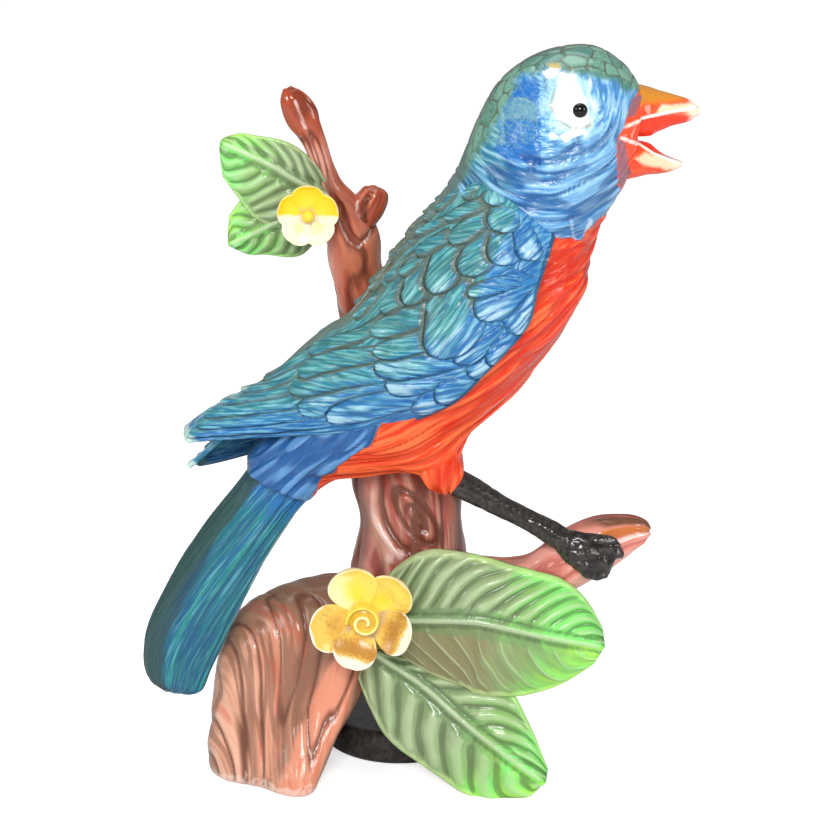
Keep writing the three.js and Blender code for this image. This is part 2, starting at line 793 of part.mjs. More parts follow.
const bird = [body, farWing, tailPiece];
const wholeStem = stem();
const lowerStem = keptWithin(wholeStem, halfSpace(branchJoint, false));
const tree = joined([lowerStem, stump(), trunkShoulder()]);
const standing = keptWithin(tree, halfSpace(0, true));
const trunk = seated(standing, [...bird, foot]);
const upperBranch = seated(keptWithin(wholeStem, halfSpace(branchJoint + seatGap, true)), bird);
const branchStub = seated(stub(), [upperBranch, ...bird]);
const perchBranch = seated(perch(), [trunk]);

const nearLeg = seated(leg(-1), [body, perchBranch]);
const farLeg = seated(leg(1), [body, perchBranch, nearLeg, trunk]);

const calyxPiece = seated(lowerCalyx, [trunk]);
const largeLeaf = seated(lowerLeafLarge, [trunk, perchBranch, calyxPiece, nearLeg]);
const grounded = keptWithin(lowerLeafSmall, halfSpace(0, true));
const smallLeaf = seated(grounded, [trunk, largeLeaf, calyxPiece, foot]);
const leftLeaf = seated(upperLeafLeft, [upperBranch, branchStub]);
const lowLeaf = seated(upperLeafLow, [upperBranch, leftLeaf, branchStub]);

const budPiece = seated(bud(), [calyxPiece]);
const lowerPetals = [];
for (const shape of lowerPetalTurns) {
  const others = lowerPetals.map((piece) => piece.geometry);
  const neighbours = [budPiece, calyxPiece, largeLeaf, smallLeaf, trunk, ...others];
  lowerPetals.push({ name: shape.name, geometry: seated(lowerPetal(shape), neighbours) });
}

const upperCalyxPiece = seated(upperCalyx, [upperBranch, leftLeaf, lowLeaf]);
const beadPiece = seated(upperBead(), [upperCalyxPiece]);
const upperPetals = [];
for (let number = 0; number < 5; number += 1) {
  const neighbours = [beadPiece, upperCalyxPiece, leftLeaf, lowLeaf, upperBranch, ...upperPetals];
  upperPetals.push(seated(upperPetal(number), neighbours));
}

// Glazes and the figurine group

function glaze(color, roughness = 0.22) {
  return new THREE.MeshStandardMaterial({ color, roughness, metalness: 0 });
}

const blueGlaze = glaze('#2f7fbf');
const tealGlaze = glaze('#3c8f9c');
const tailGlaze = glaze('#2b7a90');
const billGlaze = glaze('#ef5a2a');
const blackGlaze = glaze('#2b2829', 0.3);
const barkGlaze = glaze('#a9604b');
const branchGlaze = glaze('#8f4330');
const leafGlaze = glaze('#7fae6a');
const tipGlaze = glaze('#6fcf62');
const yellowGlaze = glaze('#f2cc4c');
const creamGlaze = glaze('#f3dfae');

const figurine = new THREE.Group();
figurine.position.set(0, -footSetback, 0);

function place(name, geometry, material) {
  const mesh = new THREE.Mesh(geometry, material);
  mesh.name = name;
  figurine.add(mesh);
}

place('foot_disc', foot, blackGlaze);
place('tree_trunk', trunk, barkGlaze);
place('upper_branch', upperBranch, branchGlaze);
place('branch_stub', branchStub, branchGlaze);
place('perch_branch', perchBranch, barkGlaze);
place('bird_body', body, blueGlaze);
place('near_wing', nearWing, tealGlaze);
place('far_wing', farWing, tealGlaze);
place('tail', tailPiece, tailGlaze);
place('upper_bill', upperBillPiece, billGlaze);
place('lower_bill', lowerBillPiece, billGlaze);
place('near_eye', nearEye, blackGlaze);
place('far_eye', farEye, blackGlaze);
place('near_leg', nearLeg, blackGlaze);
place('far_leg', farLeg, blackGlaze);
place('lower_leaf_large', largeLeaf, leafGlaze);
place('lower_leaf_small', smallLeaf, leafGlaze);
place('upper_leaf_left', leftLeaf, tipGlaze);
place('upper_leaf_low', lowLeaf, tipGlaze);
place('lower_calyx', calyxPiece, leafGlaze);
place('lower_bud', budPiece, yellowGlaze);
for (const { name, geometry } of lowerPetals) {
  place(name, geometry, yellowGlaze);
}
place('upper_calyx', upperCalyxPiece, leafGlaze);
place('upper_bead', beadPiece, yellowGlaze);
upperPetals.forEach((geometry, number) => {
  place(`upper_petal_${number + 1}`, geometry, number === 0 ? yellowGlaze : creamGlaze);
});

const group = new THREE.Group();
group.add(figurine);

export default group;
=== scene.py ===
# Glazed ceramic songbird with an open bill, on a flowering tree stump.
# Sizes are in millimetres in the bird's side view: X along the bill, Z up from the shelf, and Y
# across the bird, from its own middle plane.

import math

import bpy
import numpy as np
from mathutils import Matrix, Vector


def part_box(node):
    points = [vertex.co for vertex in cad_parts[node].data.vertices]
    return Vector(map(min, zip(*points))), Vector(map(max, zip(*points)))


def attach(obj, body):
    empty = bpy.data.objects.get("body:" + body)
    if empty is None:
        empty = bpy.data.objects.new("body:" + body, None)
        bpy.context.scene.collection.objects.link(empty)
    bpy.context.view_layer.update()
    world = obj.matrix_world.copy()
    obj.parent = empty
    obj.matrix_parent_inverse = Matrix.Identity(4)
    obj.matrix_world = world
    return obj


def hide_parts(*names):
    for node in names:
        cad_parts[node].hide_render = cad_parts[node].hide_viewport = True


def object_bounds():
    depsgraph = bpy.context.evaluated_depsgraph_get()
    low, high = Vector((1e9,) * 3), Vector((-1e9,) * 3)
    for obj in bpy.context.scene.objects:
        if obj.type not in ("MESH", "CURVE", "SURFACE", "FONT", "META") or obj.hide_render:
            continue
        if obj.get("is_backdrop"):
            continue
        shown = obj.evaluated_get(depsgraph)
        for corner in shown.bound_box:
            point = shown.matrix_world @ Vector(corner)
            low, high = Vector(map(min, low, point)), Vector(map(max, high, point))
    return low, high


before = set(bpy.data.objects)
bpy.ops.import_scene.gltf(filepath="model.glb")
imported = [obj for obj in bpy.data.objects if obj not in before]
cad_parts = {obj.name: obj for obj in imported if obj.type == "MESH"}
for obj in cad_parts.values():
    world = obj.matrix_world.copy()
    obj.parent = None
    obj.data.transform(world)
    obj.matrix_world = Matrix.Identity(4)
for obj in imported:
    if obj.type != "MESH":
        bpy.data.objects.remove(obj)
cad_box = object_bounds()

# Foot disc: a turned slab of clay under the trunk. It is dipped in a black-brown glaze that comes
# out of the kiln speckled, and its two rims are rounded by hand.

bird_low, bird_high = (np.array(corner) * 1000 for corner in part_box("bird_body"))
disc_low, disc_high = (np.array(corner) * 1000 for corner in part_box("foot_disc"))
middle_plane = (bird_low[1] + bird_high[1]) / 2


def in_metres(points):
    """Places in the shared frame, from millimetres in the bird's own side view."""
    return (np.asarray(points) + [0, middle_plane, 0]) / 1000


def in_side_view(places):
    """Millimetres in the bird's own side view, from places in the shared frame."""
    return np.asarray(places) * 1000 - [0, middle_plane, 0]


def in_scene(name, data):
    """A new object of the scene, from its mesh, lamp or camera."""
    made = bpy.data.objects.new(name, data)
    bpy.context.scene.collection.objects.link(made)
    return made


def formed(name, points, corners, sizes, masks):
    """A smooth mesh from numbered corners, with paint masks kept at its points."""
    mesh = bpy.data.meshes.new(name)
    mesh.vertices.add(len(points))
    mesh.vertices.foreach_set("co", in_metres(points).ravel())
    mesh.loops.add(len(corners))
    mesh.loops.foreach_set("vertex_index", corners)
    mesh.polygons.add(len(sizes))
    starts = np.cumsum(sizes) - sizes
    mesh.polygons.foreach_set("loop_start", starts)
    mesh.update(calc_edges=True)
    mesh.shade_smooth()
    first, second, third = (points[corners[starts + step]] for step in range(3))
    facing = np.cross(second - first, third - first)
    if np.einsum("ij,ij->", first - points.mean(0), facing) < 0:
        mesh.flip_normals()
    keep_masks(mesh, masks)
    return in_scene(name, mesh)


def keep_masks(mesh, masks):
    """Keeps paint masks as attributes of a mesh's points."""
    for mask, values in masks.items():
        kept = mesh.attributes.new(mask, "FLOAT", "POINT")
        kept.data.foreach_set("value", np.asarray(values, dtype=np.float32).ravel())


def shell(name, rings, masks=None):
    """A closed skin over rings of points (rows, around, 3), drawn together at both ends."""
    rows, around, _ = rings.shape
    ends = np.stack([rings[0].mean(0), rings[-1].mean(0)])
    points = np.concatenate([rings.reshape(-1, 3), ends])
    row, step = np.meshgrid(np.arange(rows - 1), np.arange(around), indexing="ij")
    here = row * around + step
    beside = row * around + (step + 1) % around
    walls = np.stack([here, beside, beside + around, here + around], -1).reshape(-1, 4)
    step = np.arange(around)
    beside = (step + 1) % around
    last = (rows - 1) * around
    caps = np.concatenate([
        np.stack([np.full(around, rows * around), beside, step], -1),
        np.stack([np.full(around, rows * around + 1), last + step, last + beside], -1),
    ])
    corners = np.concatenate([walls.ravel(), caps.ravel()])
    sizes = np.concatenate([np.full(len(walls), 4), np.full(len(caps), 3)])
    padded = {
        mask: np.concatenate([values.ravel(), [values[0].mean(), values[-1].mean()]])
        for mask, values in (masks or {}).items()
    }
    return formed(name, points, corners, sizes, padded)


def fixed(piece, material, slot, *nodes):
    """Gives a finished piece its glaze and lets it stand for its CAD nodes."""
    piece.data.materials.clear()
    piece.data.materials.append(material)
    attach(piece, "root")
    if nodes:
        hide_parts(*nodes)


def wired(node, inputs):
    """Sets a node's sockets, each to a value or to a link from another node."""
    for socket, value in inputs.items():
        if isinstance(value, bpy.types.NodeSocket):
            node.id_data.links.new(value, node.inputs[socket])
        else:
            node.inputs[socket].default_value = value


def added(tree, kind, inputs=None, **settings):
    """One node of a tree, with its values or links by socket."""
    node = tree.nodes.new(kind)
    for setting, value in settings.items():
        setattr(node, setting, value)
    wired(node, inputs or {})
    return node


def reckoned(tree, operation, *values):
    """The result of one sum on values or sockets of a tree."""
    return added(tree, "ShaderNodeMath", dict(enumerate(values)), operation=operation).outputs[0]


def linear(code):
    """A colour code as the linear value that a shader takes."""
    parts = [int(code[i:i + 2], 16) / 255 for i in (1, 3, 5)]
    return tuple(p / 12.92 if p <= 0.04045 else ((p + 0.055) / 1.055) ** 2.4 for p in parts) + (1.0,)


def node_group(name, kind, inputs, outputs):
    """An empty node group, what it takes by label, and the node that gives its results."""
    tree = bpy.data.node_groups.new(name, kind)
    for way, sockets in (("INPUT", inputs), ("OUTPUT", outputs)):
        for label, sort in sockets.items():
            tree.interface.new_socket(name=label, in_out=way, socket_type=f"NodeSocket{sort}")
    return tree, tree.nodes.new("NodeGroupInput").outputs, tree.nodes.new("NodeGroupOutput")


# Marks of a brush: long soft noise, with its own width and length in millimetres
brush_marks, taken, given = node_group(
    "brush_marks", "ShaderNodeTree",
    {"Flow": "Vector", "Width": "Float", "Length": "Float"},
    {"Marks": "Float"},
)
stretch = added(
    brush_marks, "ShaderNodeCombineXYZ", {0: taken["Width"], 1: taken["Length"], 2: taken["Width"]},
)
scaled = added(
    brush_marks, "ShaderNodeVectorMath", {0: taken["Flow"], 1: stretch.outputs[0]}, operation="DIVIDE",
)
noise = added(
    brush_marks, "ShaderNodeTexNoise",
    {"Vector": scaled.outputs[0], "Scale": 1.0, "Detail": 2.0, "Roughness": 0.55},
)
wired(given, {"Marks": noise.outputs["Fac"]})

# One coat of paint over another, with an edge broken up by the marks of the brush
paint_coat, taken, given = node_group(
    "paint_coat", "ShaderNodeTree",
    {"Under": "Color", "Over": "Color", "Mask": "Float", "Marks": "Float", "Ragged": "Float",
     "Softness": "Float", "Cover": "Float"},
    {"Color": "Color"},
)
centred = reckoned(paint_coat, "SUBTRACT", taken["Marks"], 0.5)
broken = reckoned(paint_coat, "MULTIPLY_ADD", centred, taken["Ragged"], taken["Mask"])
edge = added(
    paint_coat, "ShaderNodeMapRange",
    {"Value": broken, "From Min": reckoned(paint_coat, "SUBTRACT", 0.5, taken["Softness"]),
     "From Max": reckoned(paint_coat, "ADD", 0.5, taken["Softness"])},
    interpolation_type="SMOOTHSTEP",
)
cover = reckoned(paint_coat, "MULTIPLY", edge.outputs[0], taken["Cover"])
coat = added(
    paint_coat, "ShaderNodeMix", {0: cover, 6: taken["Under"], 7: taken["Over"]}, data_type="RGBA",
)
wired(given, {"Color": coat.outputs[2]})

# The skin of the fired glaze: slight waves, fine marks of the comb and an uneven gloss
glaze_skin, taken, given = node_group(
    "glaze_skin", "ShaderNodeTree",
    {"Place": "Vector", "Marks": "Float", "Waves": "Float", "Tooling": "Float", "Gloss": "Float"},
    {"Normal": "Vector", "Roughness": "Float"},
)
waves = added(glaze_skin, "ShaderNodeTexNoise", {"Vector": taken["Place"], "Scale": 0.42, "Detail": 3.0})
waved = reckoned(glaze_skin, "MULTIPLY", waves.outputs["Fac"], taken["Waves"])
height = reckoned(glaze_skin, "MULTIPLY_ADD", taken["Marks"], taken["Tooling"], waved)
bumps = added(glaze_skin, "ShaderNodeBump", {"Strength": 1.0, "Distance": 0.001, "Height": height})
patches = added(glaze_skin, "ShaderNodeTexNoise", {"Vector": taken["Place"], "Scale": 0.12, "Detail": 2.0})
uneven = reckoned(glaze_skin, "MULTIPLY_ADD", patches.outputs["Fac"], 0.16, taken["Gloss"])
wired(given, {"Normal": bumps.outputs[0], "Roughness": uneven})


def glaze(name, ground, coats, gloss=0.08, waves=0.14, tooling=0.0, comb=(0.6, 6.0), flows=False, coat=0.06):
    """A glazed and painted finish: a ground colour and its coats, each given as
    (colour, mask, brush width, brush length, ragged, softness, cover). Where it flows, the marks
    follow the piece's own masks "across" and "along"."""
    material = bpy.data.materials.new(name)
    material.use_nodes = True
    tree = material.node_tree
    place = added(tree, "ShaderNodeTexCoord").outputs["Object"]
    in_mm = added(tree, "ShaderNodeVectorMath", {0: place, 1: (1000,) * 3}, operation="MULTIPLY").outputs[0]

    def painted(mask):
        """A number as it is, or the piece's own mask of that name."""
        if isinstance(mask, str):
            return added(tree, "ShaderNodeAttribute", attribute_name=mask).outputs["Fac"]
        return mask

    brushed = in_mm
    if flows:
        ways = {0: painted("across"), 1: painted("along")}
        brushed = added(tree, "ShaderNodeCombineXYZ", ways).outputs[0]

    def marks(width, length):
        """The marks of a brush or comb, by its width and length."""
        inputs = {"Flow": brushed, "Width": width, "Length": length}
        return added(tree, "ShaderNodeGroup", inputs, node_tree=brush_marks).outputs[0]

    color = linear(ground)
    for paint, mask, width, length, ragged, softness, cover in coats:
        color = added(tree, "ShaderNodeGroup", {
            "Under": color, "Over": linear(paint), "Mask": painted(mask), "Marks": marks(width, length),
            "Ragged": ragged, "Softness": softness, "Cover": cover,
        }, node_tree=paint_coat).outputs[0]
    skin = added(tree, "ShaderNodeGroup", {
        "Place": in_mm, "Marks": marks(*comb), "Waves": waves, "Tooling": painted(tooling), "Gloss": gloss,
    }, node_tree=glaze_skin)
    wired(tree.nodes["Principled BSDF"], {
        "Base Color": color, "Normal": skin.outputs["Normal"], "Roughness": skin.outputs["Roughness"],
        "IOR": 1.4, "Coat Weight": coat, "Coat Roughness": 0.06,
    })
    return material


disc_radius = (disc_high[0] - disc_low[0]) / 2
disc_height = disc_high[2]
disc_edge = 1.6
rim = disc_radius - disc_edge
rounding = np.linspace(0, math.pi / 2, 8)
disc_profile = np.concatenate([
    [(radius, 0.0) for radius in np.linspace(0.5, rim - 0.4, 8)],
    [(rim + disc_edge * math.sin(a), disc_edge - disc_edge * math.cos(a)) for a in rounding],
    [(rim + disc_edge * math.cos(a), disc_height - disc_edge + disc_edge * math.sin(a)) for a in rounding],
    [(radius, disc_height) for radius in np.linspace(rim - 0.6, 0.5, 8)],
])
turned = np.linspace(0, 2 * math.pi, 160, endpoint=False)
disc_rings = np.array([
    [(radius * math.cos(a), radius * math.sin(a) - middle_plane, height) for a in turned]
    for radius, height in disc_profile
])
black_glaze = glaze("black_glaze", "#2b2827", [
    ("#47423f", 0.46, 1.2, 1.2, 1.6, 0.1, 0.55),
    # Painted highlights: pale glints on the raised specks
    ("#9a9490", "painted_glint", 0.8, 0.8, 1.6, 0.15, 0.6),
    ("#141212", "groove", 1.0, 2.0, 0.6, 0.2, 0.8),
], gloss=0.05, waves=0.16)
fixed(shell("black_foot_disc", disc_rings), black_glaze, "black_glaze", "foot_disc")

# Tree trunk: the trunk, its shoulder and the cut stump are one slip casting, with long folds of
# bark tooled into the clay. It is brushed with pinks and browns that run together under the glaze.


def clamped(values):
    """Values held between 0 and 1."""
    return np.clip(values, 0, 1)


def through(stations, t):
    """The smooth curve through a list of rows, read at shares t of its length."""
    rows = np.asarray(stations, float)
    t = clamped(np.asarray(t, float)) * (len(rows) - 1)
    index = np.minimum(t.astype(int), len(rows) - 2)
    part = (t - index)[..., None]
    row = np.vstack([2 * rows[0] - rows[1], rows, 2 * rows[-1] - rows[-2]])
    a, b, c, d = row[index], row[index + 1], row[index + 2], row[index + 3]
    bend = (2 * a - 5 * b + 4 * c - d) * part ** 2
    return 0.5 * (2 * b + (c - a) * part + bend + (3 * b - a - 3 * c + d) * part ** 3)


def lattice(rows, around, start=0.0, end=1.0):
    """Shares along a piece and angles round it, one for each point."""
    angles = np.linspace(0, 2 * math.pi, around, endpoint=False)
    return np.meshgrid(np.linspace(start, end, rows), angles, indexing="ij")


def limb(stations, rows, around, start=0.0, end=1.0):
    """Rings round a spine. A station is [x, y, z, half-width in the side view, half-depth]."""
    t, angle = lattice(rows, around, start, end)
    spine = [list(station) + [station[3]] * (5 - len(station)) for station in stations]
    at = through(spine, t)
    tangent = through(spine, t + 0.01)[..., :3] - through(spine, t - 0.01)[..., :3]
    tangent /= np.linalg.norm(tangent, axis=-1, keepdims=True)
    across = np.cross([0, 1, 0], tangent)
    across /= np.linalg.norm(across, axis=-1, keepdims=True)
    depth = np.cross(tangent, across)
    wide, deep = at[..., 3] * np.cos(angle), at[..., 4] * np.sin(angle)
    return at[..., :3] + across * wide[..., None] + depth * deep[..., None]


def lumps(places, seed):
    """Smooth random values between -1 and 1, a lump to each unit of the places given."""
    table = np.random.default_rng(seed).uniform(-1, 1, (32, 32, 32))
    base = np.floor(places).astype(int)
    part = places - base
    part = part * part * (3 - 2 * part)
    total = 0
    for corner in np.ndindex(2, 2, 2):
        weight = np.prod(np.where(corner, part, 1 - part), axis=-1)
        cell = (base + corner) % 32
        total = total + weight * table[cell[..., 0], cell[..., 1], cell[..., 2]]
    return total


def strokes(across, along, width, length):
    """Places for marks that are narrow across and long along a surface."""
    return np.stack([across / width, along / length, np.full_like(across, 0.5)], -1)


def tooled(places, seed, crease=0.2):
    """Rounded ridges, 0 to 1, and the crisp creases between them, as a wire tool leaves them."""
    pull = lumps(places, seed)
    return clamped(np.abs(pull) / 0.5) ** 0.7, np.exp(-((pull / crease) ** 2))


def off_line(x, z, line):
    """How many millimetres a point of the side view lies from a line through several points."""
    nearest = np.full(x.shape, 1e9)
    for (x1, z1), (x2, z2) in zip(line, line[1:]):
        run = (x2 - x1) ** 2 + (z2 - z1) ** 2
        part = clamped(((x - x1) * (x2 - x1) + (z - z1) * (z2 - z1)) / max(run, 1e-9))
        nearest = np.minimum(nearest, np.hypot(x - x1 - part * (x2 - x1), z - z1 - part * (z2 - z1)))
    return nearest


def inside(x, z, outline):
    """How many millimetres a point of the side view lies inside an outline; less than 0 outside."""
    closed = outline + outline[:1]
    within = np.zeros(x.shape, bool)
    for (x1, z1), (x2, z2) in zip(closed, closed[1:]):
        if z1 != z2:
            within ^= ((z1 > z) != (z2 > z)) & (x < (x2 - x1) * (z - z1) / (z2 - z1) + x1)
    return np.where(within, 1, -1) * off_line(x, z, closed)


def masked(depth, soft):
    """A paint mask with its edge at 0.5 where a depth is 0."""
    return clamped(0.5 + depth / (2 * soft))


def ridged(distance, width):
    """A rounded bead of a given half-width along a line."""
    return np.exp(-((distance / width) ** 2))


def settled(piece):
    """Keeps what a piece's modifiers make of it as its plain mesh."""
    depsgraph = bpy.context.evaluated_depsgraph_get()
    mesh = bpy.data.meshes.new_from_object(
        piece.evaluated_get(depsgraph), preserve_all_data_layers=True, depsgraph=depsgraph,
    )
    piece.modifiers.clear()
    piece.data = mesh


def vertex_values(mesh, kind):
    """The place ("co") or the normal of each of a mesh's points."""
    values = np.empty(len(mesh.vertices) * 3)
    mesh.vertices.foreach_get(kind, values)
    return values.reshape(-1, 3)


def remeshed(parts, cell, rounds):
    """Several overlapping skins fired together as one, with the seams between them softened."""
    with bpy.context.temp_override(
        active_object=parts[0], selected_editable_objects=parts, selected_objects=parts,
    ):
        bpy.ops.object.join()
    whole = parts[0]
    union = whole.modifiers.new("union", "REMESH")
    union.mode = "VOXEL"
    union.voxel_size = cell / 1000
    soften = whole.modifiers.new("soften", "SMOOTH")
    soften.factor = 0.5
    soften.iterations = rounds
    settled(whole)
    return whole, in_side_view(vertex_values(whole.data, "co")), vertex_values(whole.data, "normal")


def reshaped(piece, points, masks):
    """Moves a mesh's points and keeps paint masks at them."""
    piece.data.vertices.foreach_set("co", in_metres(points).ravel())
    keep_masks(piece.data, masks)
    piece.data.update()
    piece.data.shade_smooth()


stem_stations = [
    [8, 25, 6, 8, 9], [7, 22, 16, 9, 9.5], [4, 17, 30, 13, 11], [1, 13, 45, 15, 12.5],
    [3.2, 11, 59, 14.2, 12], [3.5, 11, 69, 13.1, 11], [2.3, 13, 80, 14.4, 11], [-1, 18, 90, 12, 9],
    [-4, 22, 102, 8.4, 7], [-8.1, 22.5, 118, 6.9, 6.4], [-11, 20, 132, 6.5, 6.2],
    [-11.8, 18, 140, 6.8, 5.8], [-13.9, 17, 147, 5.3, 4.6], [-17.1, 16, 154, 2.9, 3],
    [-19.2, 15, 160.5, 2.5, 2.6], [-21, 14, 166, 2.9, 2.8], [-23.6, 13, 171.5, 4.1, 3.2],
    [-26, 12, 176, 3.1, 2.4], [-27.2, 12, 178.6, 0.9, 0.8],
]
# A stump station is [height, centre x, half-width, centre y, half-depth]
stump_stations = [
    [-3, -35.5, 13.4, 6, 11.5], [3, -35.9, 15, 6, 12.5], [13, -33.7, 16.6, 7.5, 12.5],
    [21, -30.4, 19, 9, 12.5], [28, -27.4, 21.4, 9.5, 12.5], [35, -24.8, 22.2, 10, 12],
    [41, -20.8, 22.3, 10.5, 11.5], [46, -15.4, 21.6, 11, 10], [50, -10.4, 16.8, 11, 7.5],
    [52.2, -8, 9, 11, 4],
]
shoulder_stations = [[6, 12, 66, 4], [9, 11, 76, 6.5], [11, 10, 84, 6], [12.5, 10, 88.5, 3.5]]
branch_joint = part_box("tree_trunk")[1].z * 1000
root_reach = 9.5

shares = np.linspace(0, 1, 400)
joint_share = np.interp(branch_joint, through(stem_stations, shares)[:, 2], shares)
trunk_skin = shell("trunk_skin", limb(stem_stations, 110, 90, 0, joint_share))

t, angle = lattice(80, 120)
at = through(stump_stations, t)
rise = clamped(at[..., 0] / 40)
root_turn = -1.05 + 0.75 * rise
off_root = np.arctan2(np.sin(angle - root_turn), np.cos(angle - root_turn))
root = root_reach * (1 - rise) * ridged(off_root, 0.38)
stump_skin = shell("stump_skin", np.stack([
    at[..., 1] + (at[..., 2] + root) * np.cos(angle),
    at[..., 3] + (at[..., 4] + root) * np.sin(angle),
    np.maximum(at[..., 0], 0.4),
], -1))
shoulder_skin = shell("shoulder_skin", limb(shoulder_stations, 30, 40))

trunk, points, normals = remeshed([trunk_skin, stump_skin, shoulder_skin], 0.58, 12)
trunk.name = "tree_trunk_glazed"
x, y, z = points.T
on_stump = clamped((-8 - x - (z - 45) * 0.4) / 8 + 0.5)
# The folds of the stump spread upwards from a point below its left foot
spread_x, spread_z = -42.0, -33.0
spread_radius = 62
spread = np.arctan2(x - spread_x, z - spread_z) * spread_radius
climb = np.hypot(x - spread_x, z - spread_z)
swayed = points + lumps(points / 20, 3)[:, None] * [2.5, 2.0, 0.0]
stump_fold_size = [4.2, 40, 14]
trunk_fold_size = [5.2, 5.2, 36]
stump_folds = np.stack([spread + 0.7 * swayed[:, 1], climb, y], -1) / stump_fold_size
trunk_folds = swayed / trunk_fold_size
fold, crease = (
    on_stump * on_the_stump + (1 - on_stump) * on_the_trunk
    for on_the_stump, on_the_trunk in zip(tooled(stump_folds, 5, 0.15), tooled(trunk_folds, 6, 0.12))
)
thin_fold, scratch = tooled(np.where(on_stump[:, None] > 0.5, stump_folds, trunk_folds) * 2.1, 7, 0.3)
# A long oval loop and a hooked groove are cut into the front of the trunk
in_front = clamped((6 - y) / 4)
loop_x, loop_z = x - 4.6, z - 71.5
loop_half_width, loop_half_height = 3.4, 8.4
lean = math.radians(-36)
from_loop = np.hypot(
    (loop_x * math.cos(lean) - loop_z * math.sin(lean)) / loop_half_width,
    (loop_x * math.sin(lean) + loop_z * math.cos(lean)) / loop_half_height,
)
loop = (ridged(from_loop - 1.0, 0.2) + 0.8 * ridged(from_loop - 0.45, 0.16)) * in_front
hook_line = [(-4.2, 86), (-4.6, 78), (-4.8, 74.6), (-3.8, 70.5), (-1.9, 67.2), (0.6, 64.2), (2.4, 62.8)]
hook = ridged(off_line(x, z, hook_line), 1.0) * in_front
hook_lip = ridged(off_line(x + 1.9, z + 0.8, hook_line), 0.9) * in_front
knot = ridged(np.hypot(x + 1.9, z - 60.6), 2.0) * in_front
lift = (1.0 - 0.45 * on_stump) * (fold - 0.45) - 0.3 * crease
lift = lift + (0.16 * (thin_fold - 0.5) - 0.1 * scratch) * (0.35 + 0.65 * on_stump)
lift = lift * (1 - 0.8 * clamped(loop + hook + hook_lip)) - 1.0 * loop - 1.1 * hook + 0.7 * hook_lip
lift = (lift + 0.6 * knot) * np.clip(z / 6, 0.15, 1)
points = points + normals * lift[:, None]
points[:, 2] = np.maximum(points[:, 2], 0.0)
root_middle = -13.7 - (33.6 - z) * 0.405
on_root = masked(4.6 - np.abs(x - root_middle), 2.0) * masked(34 - z, 4) * (y < 6)
reshaped(trunk, points, {
    # The ridge mask carries a painted highlight: paler paint on the ridges of the folds
    "groove": clamped(crease * 0.8 + loop + hook), "ridge": clamped((fold - 0.55) * 1.6),
    "line": scratch * on_stump, "stump": on_stump, "root": on_root, "foot": masked(2.5 - z, 2.5),
    "under_flower": on_stump * masked(x + 29 - 0.12 * (z - 20), 6) * masked(z - 3, 5) * (1 - on_root),
    "crown": on_stump * masked(normals[:, 2] - 0.55, 0.3), "gleam": clamped(hook_lip + 0.7 * knot),
    "shade": masked(np.abs(normals[:, 0]) - 0.74, 0.16) * (1 - 0.5 * on_stump),
    "top": masked(z - branch_joint + 6, 6), "lit_side": on_stump * masked(-36 - x, 5) * masked(42 - z, 6),
    "across": np.where(on_stump > 0.5, spread + y, x * 0.8 + y * 0.6),
    "along": np.where(on_stump > 0.5, climb, z),
})
bark_glaze = glaze("bark_glaze", "#a8544a", [
    ("#84413a", 0.47, 3.0, 26, 1.8, 0.2, 0.65),
    # A painted highlight: paler pink on the ridges of the folds
    ("#d08f86", "ridge", 2.0, 18, 1.0, 0.25, 0.6),
    ("#d89478", "stump", 5, 34, 0.6, 0.3, 0.9),
    ("#ecb698", "lit_side", 2.4, 30, 0.8, 0.3, 0.6),
    ("#e6b8a0", 0.42, 2.0, 26, 2.4, 0.25, 0.55),
    ("#96664c", 0.38, 1.6, 30, -2.4, 0.25, 0.5),
    ("#87604a", "under_flower", 2.0, 26, 1.4, 0.35, 0.8),
    ("#74604e", "crown", 4, 6, 0.6, 0.3, 0.8),
    ("#7c5440", "line", 1, 14, 0.5, 0.3, 0.65),
    ("#dc8f72", "root", 3, 18, 0.6, 0.25, 0.9),
    ("#c4553f", 0.36, 2.4, 14, 1.2, 0.08, 0.4),
    ("#653a2c", "groove", 1.2, 12, 0.5, 0.35, 0.85),
    ("#5f3c32", "shade", 3, 20, 0.5, 0.3, 0.7),
    ("#b4583f", "top", 2.2, 18, 1.4, 0.4, 0.85),
    ("#f0d8d0", "gleam", 1.2, 8, 1.2, 0.25, 0.5),
    ("#f3e2d8", "foot", 2, 2, 1.8, 0.2, 0.4),
], gloss=0.14, waves=0.08, tooling=0.26, comb=(2.0, 26), flows=True, coat=0.05)
fixed(trunk, bark_glaze, "bark_glaze", "tree_trunk")

# Upper branch: its own casting, luted to the trunk's top behind the bird. It ends in a knobbed
# twig, and carries a sawn stub with a dark knot. The glaze is a smooth, darker red-brown.


def raised(rings, relief):
    """Rings pushed out along the surface by a relief in millimetres."""
    along = np.gradient(rings, axis=0)
    around = np.roll(rings, -1, 1) - np.roll(rings, 1, 1)
    normal = np.cross(along, around)
    normal /= np.maximum(np.linalg.norm(normal, axis=-1, keepdims=True), 1e-9)
    middle = rings.mean(axis=1, keepdims=True)
    if np.sum(normal * (rings - middle)) < 0:
        normal = -normal
    return rings + normal * relief[..., None]


def barked(stations, rows, around, depth, seed, start=0.0):
    """A branch with a few folds that wander along it, the masks of its bark, and how far each
    point looks up: 1 on top, and -1 below."""
    angle = lattice(rows, around)[1]
    rings = limb(stations, rows, around, start)
    steps = np.linalg.norm(np.diff(rings.mean(1), axis=0), axis=1)
    along = np.concatenate([[0], np.cumsum(steps)])[:, None] + 0 * angle
    places = np.stack([np.cos(angle) * 1.5, np.sin(angle) * 1.5, along / 24], -1)
    places = places + lumps(rings / 9, seed)[..., None] * 0.35
    fold, crease = tooled(places, seed + 1)
    middle = rings.mean(1, keepdims=True)
    reach = np.linalg.norm(rings - middle, axis=-1)
    rings = raised(rings, (fold - 0.4) * depth - crease * depth * 0.35)
    # The ridge mask carries a painted highlight along the ridges of the folds
    masks = {"groove": crease, "ridge": clamped((fold - 0.5) * 1.6), "across": angle * 4, "along": along}
    return rings, masks, (rings - middle)[..., 2] / reach


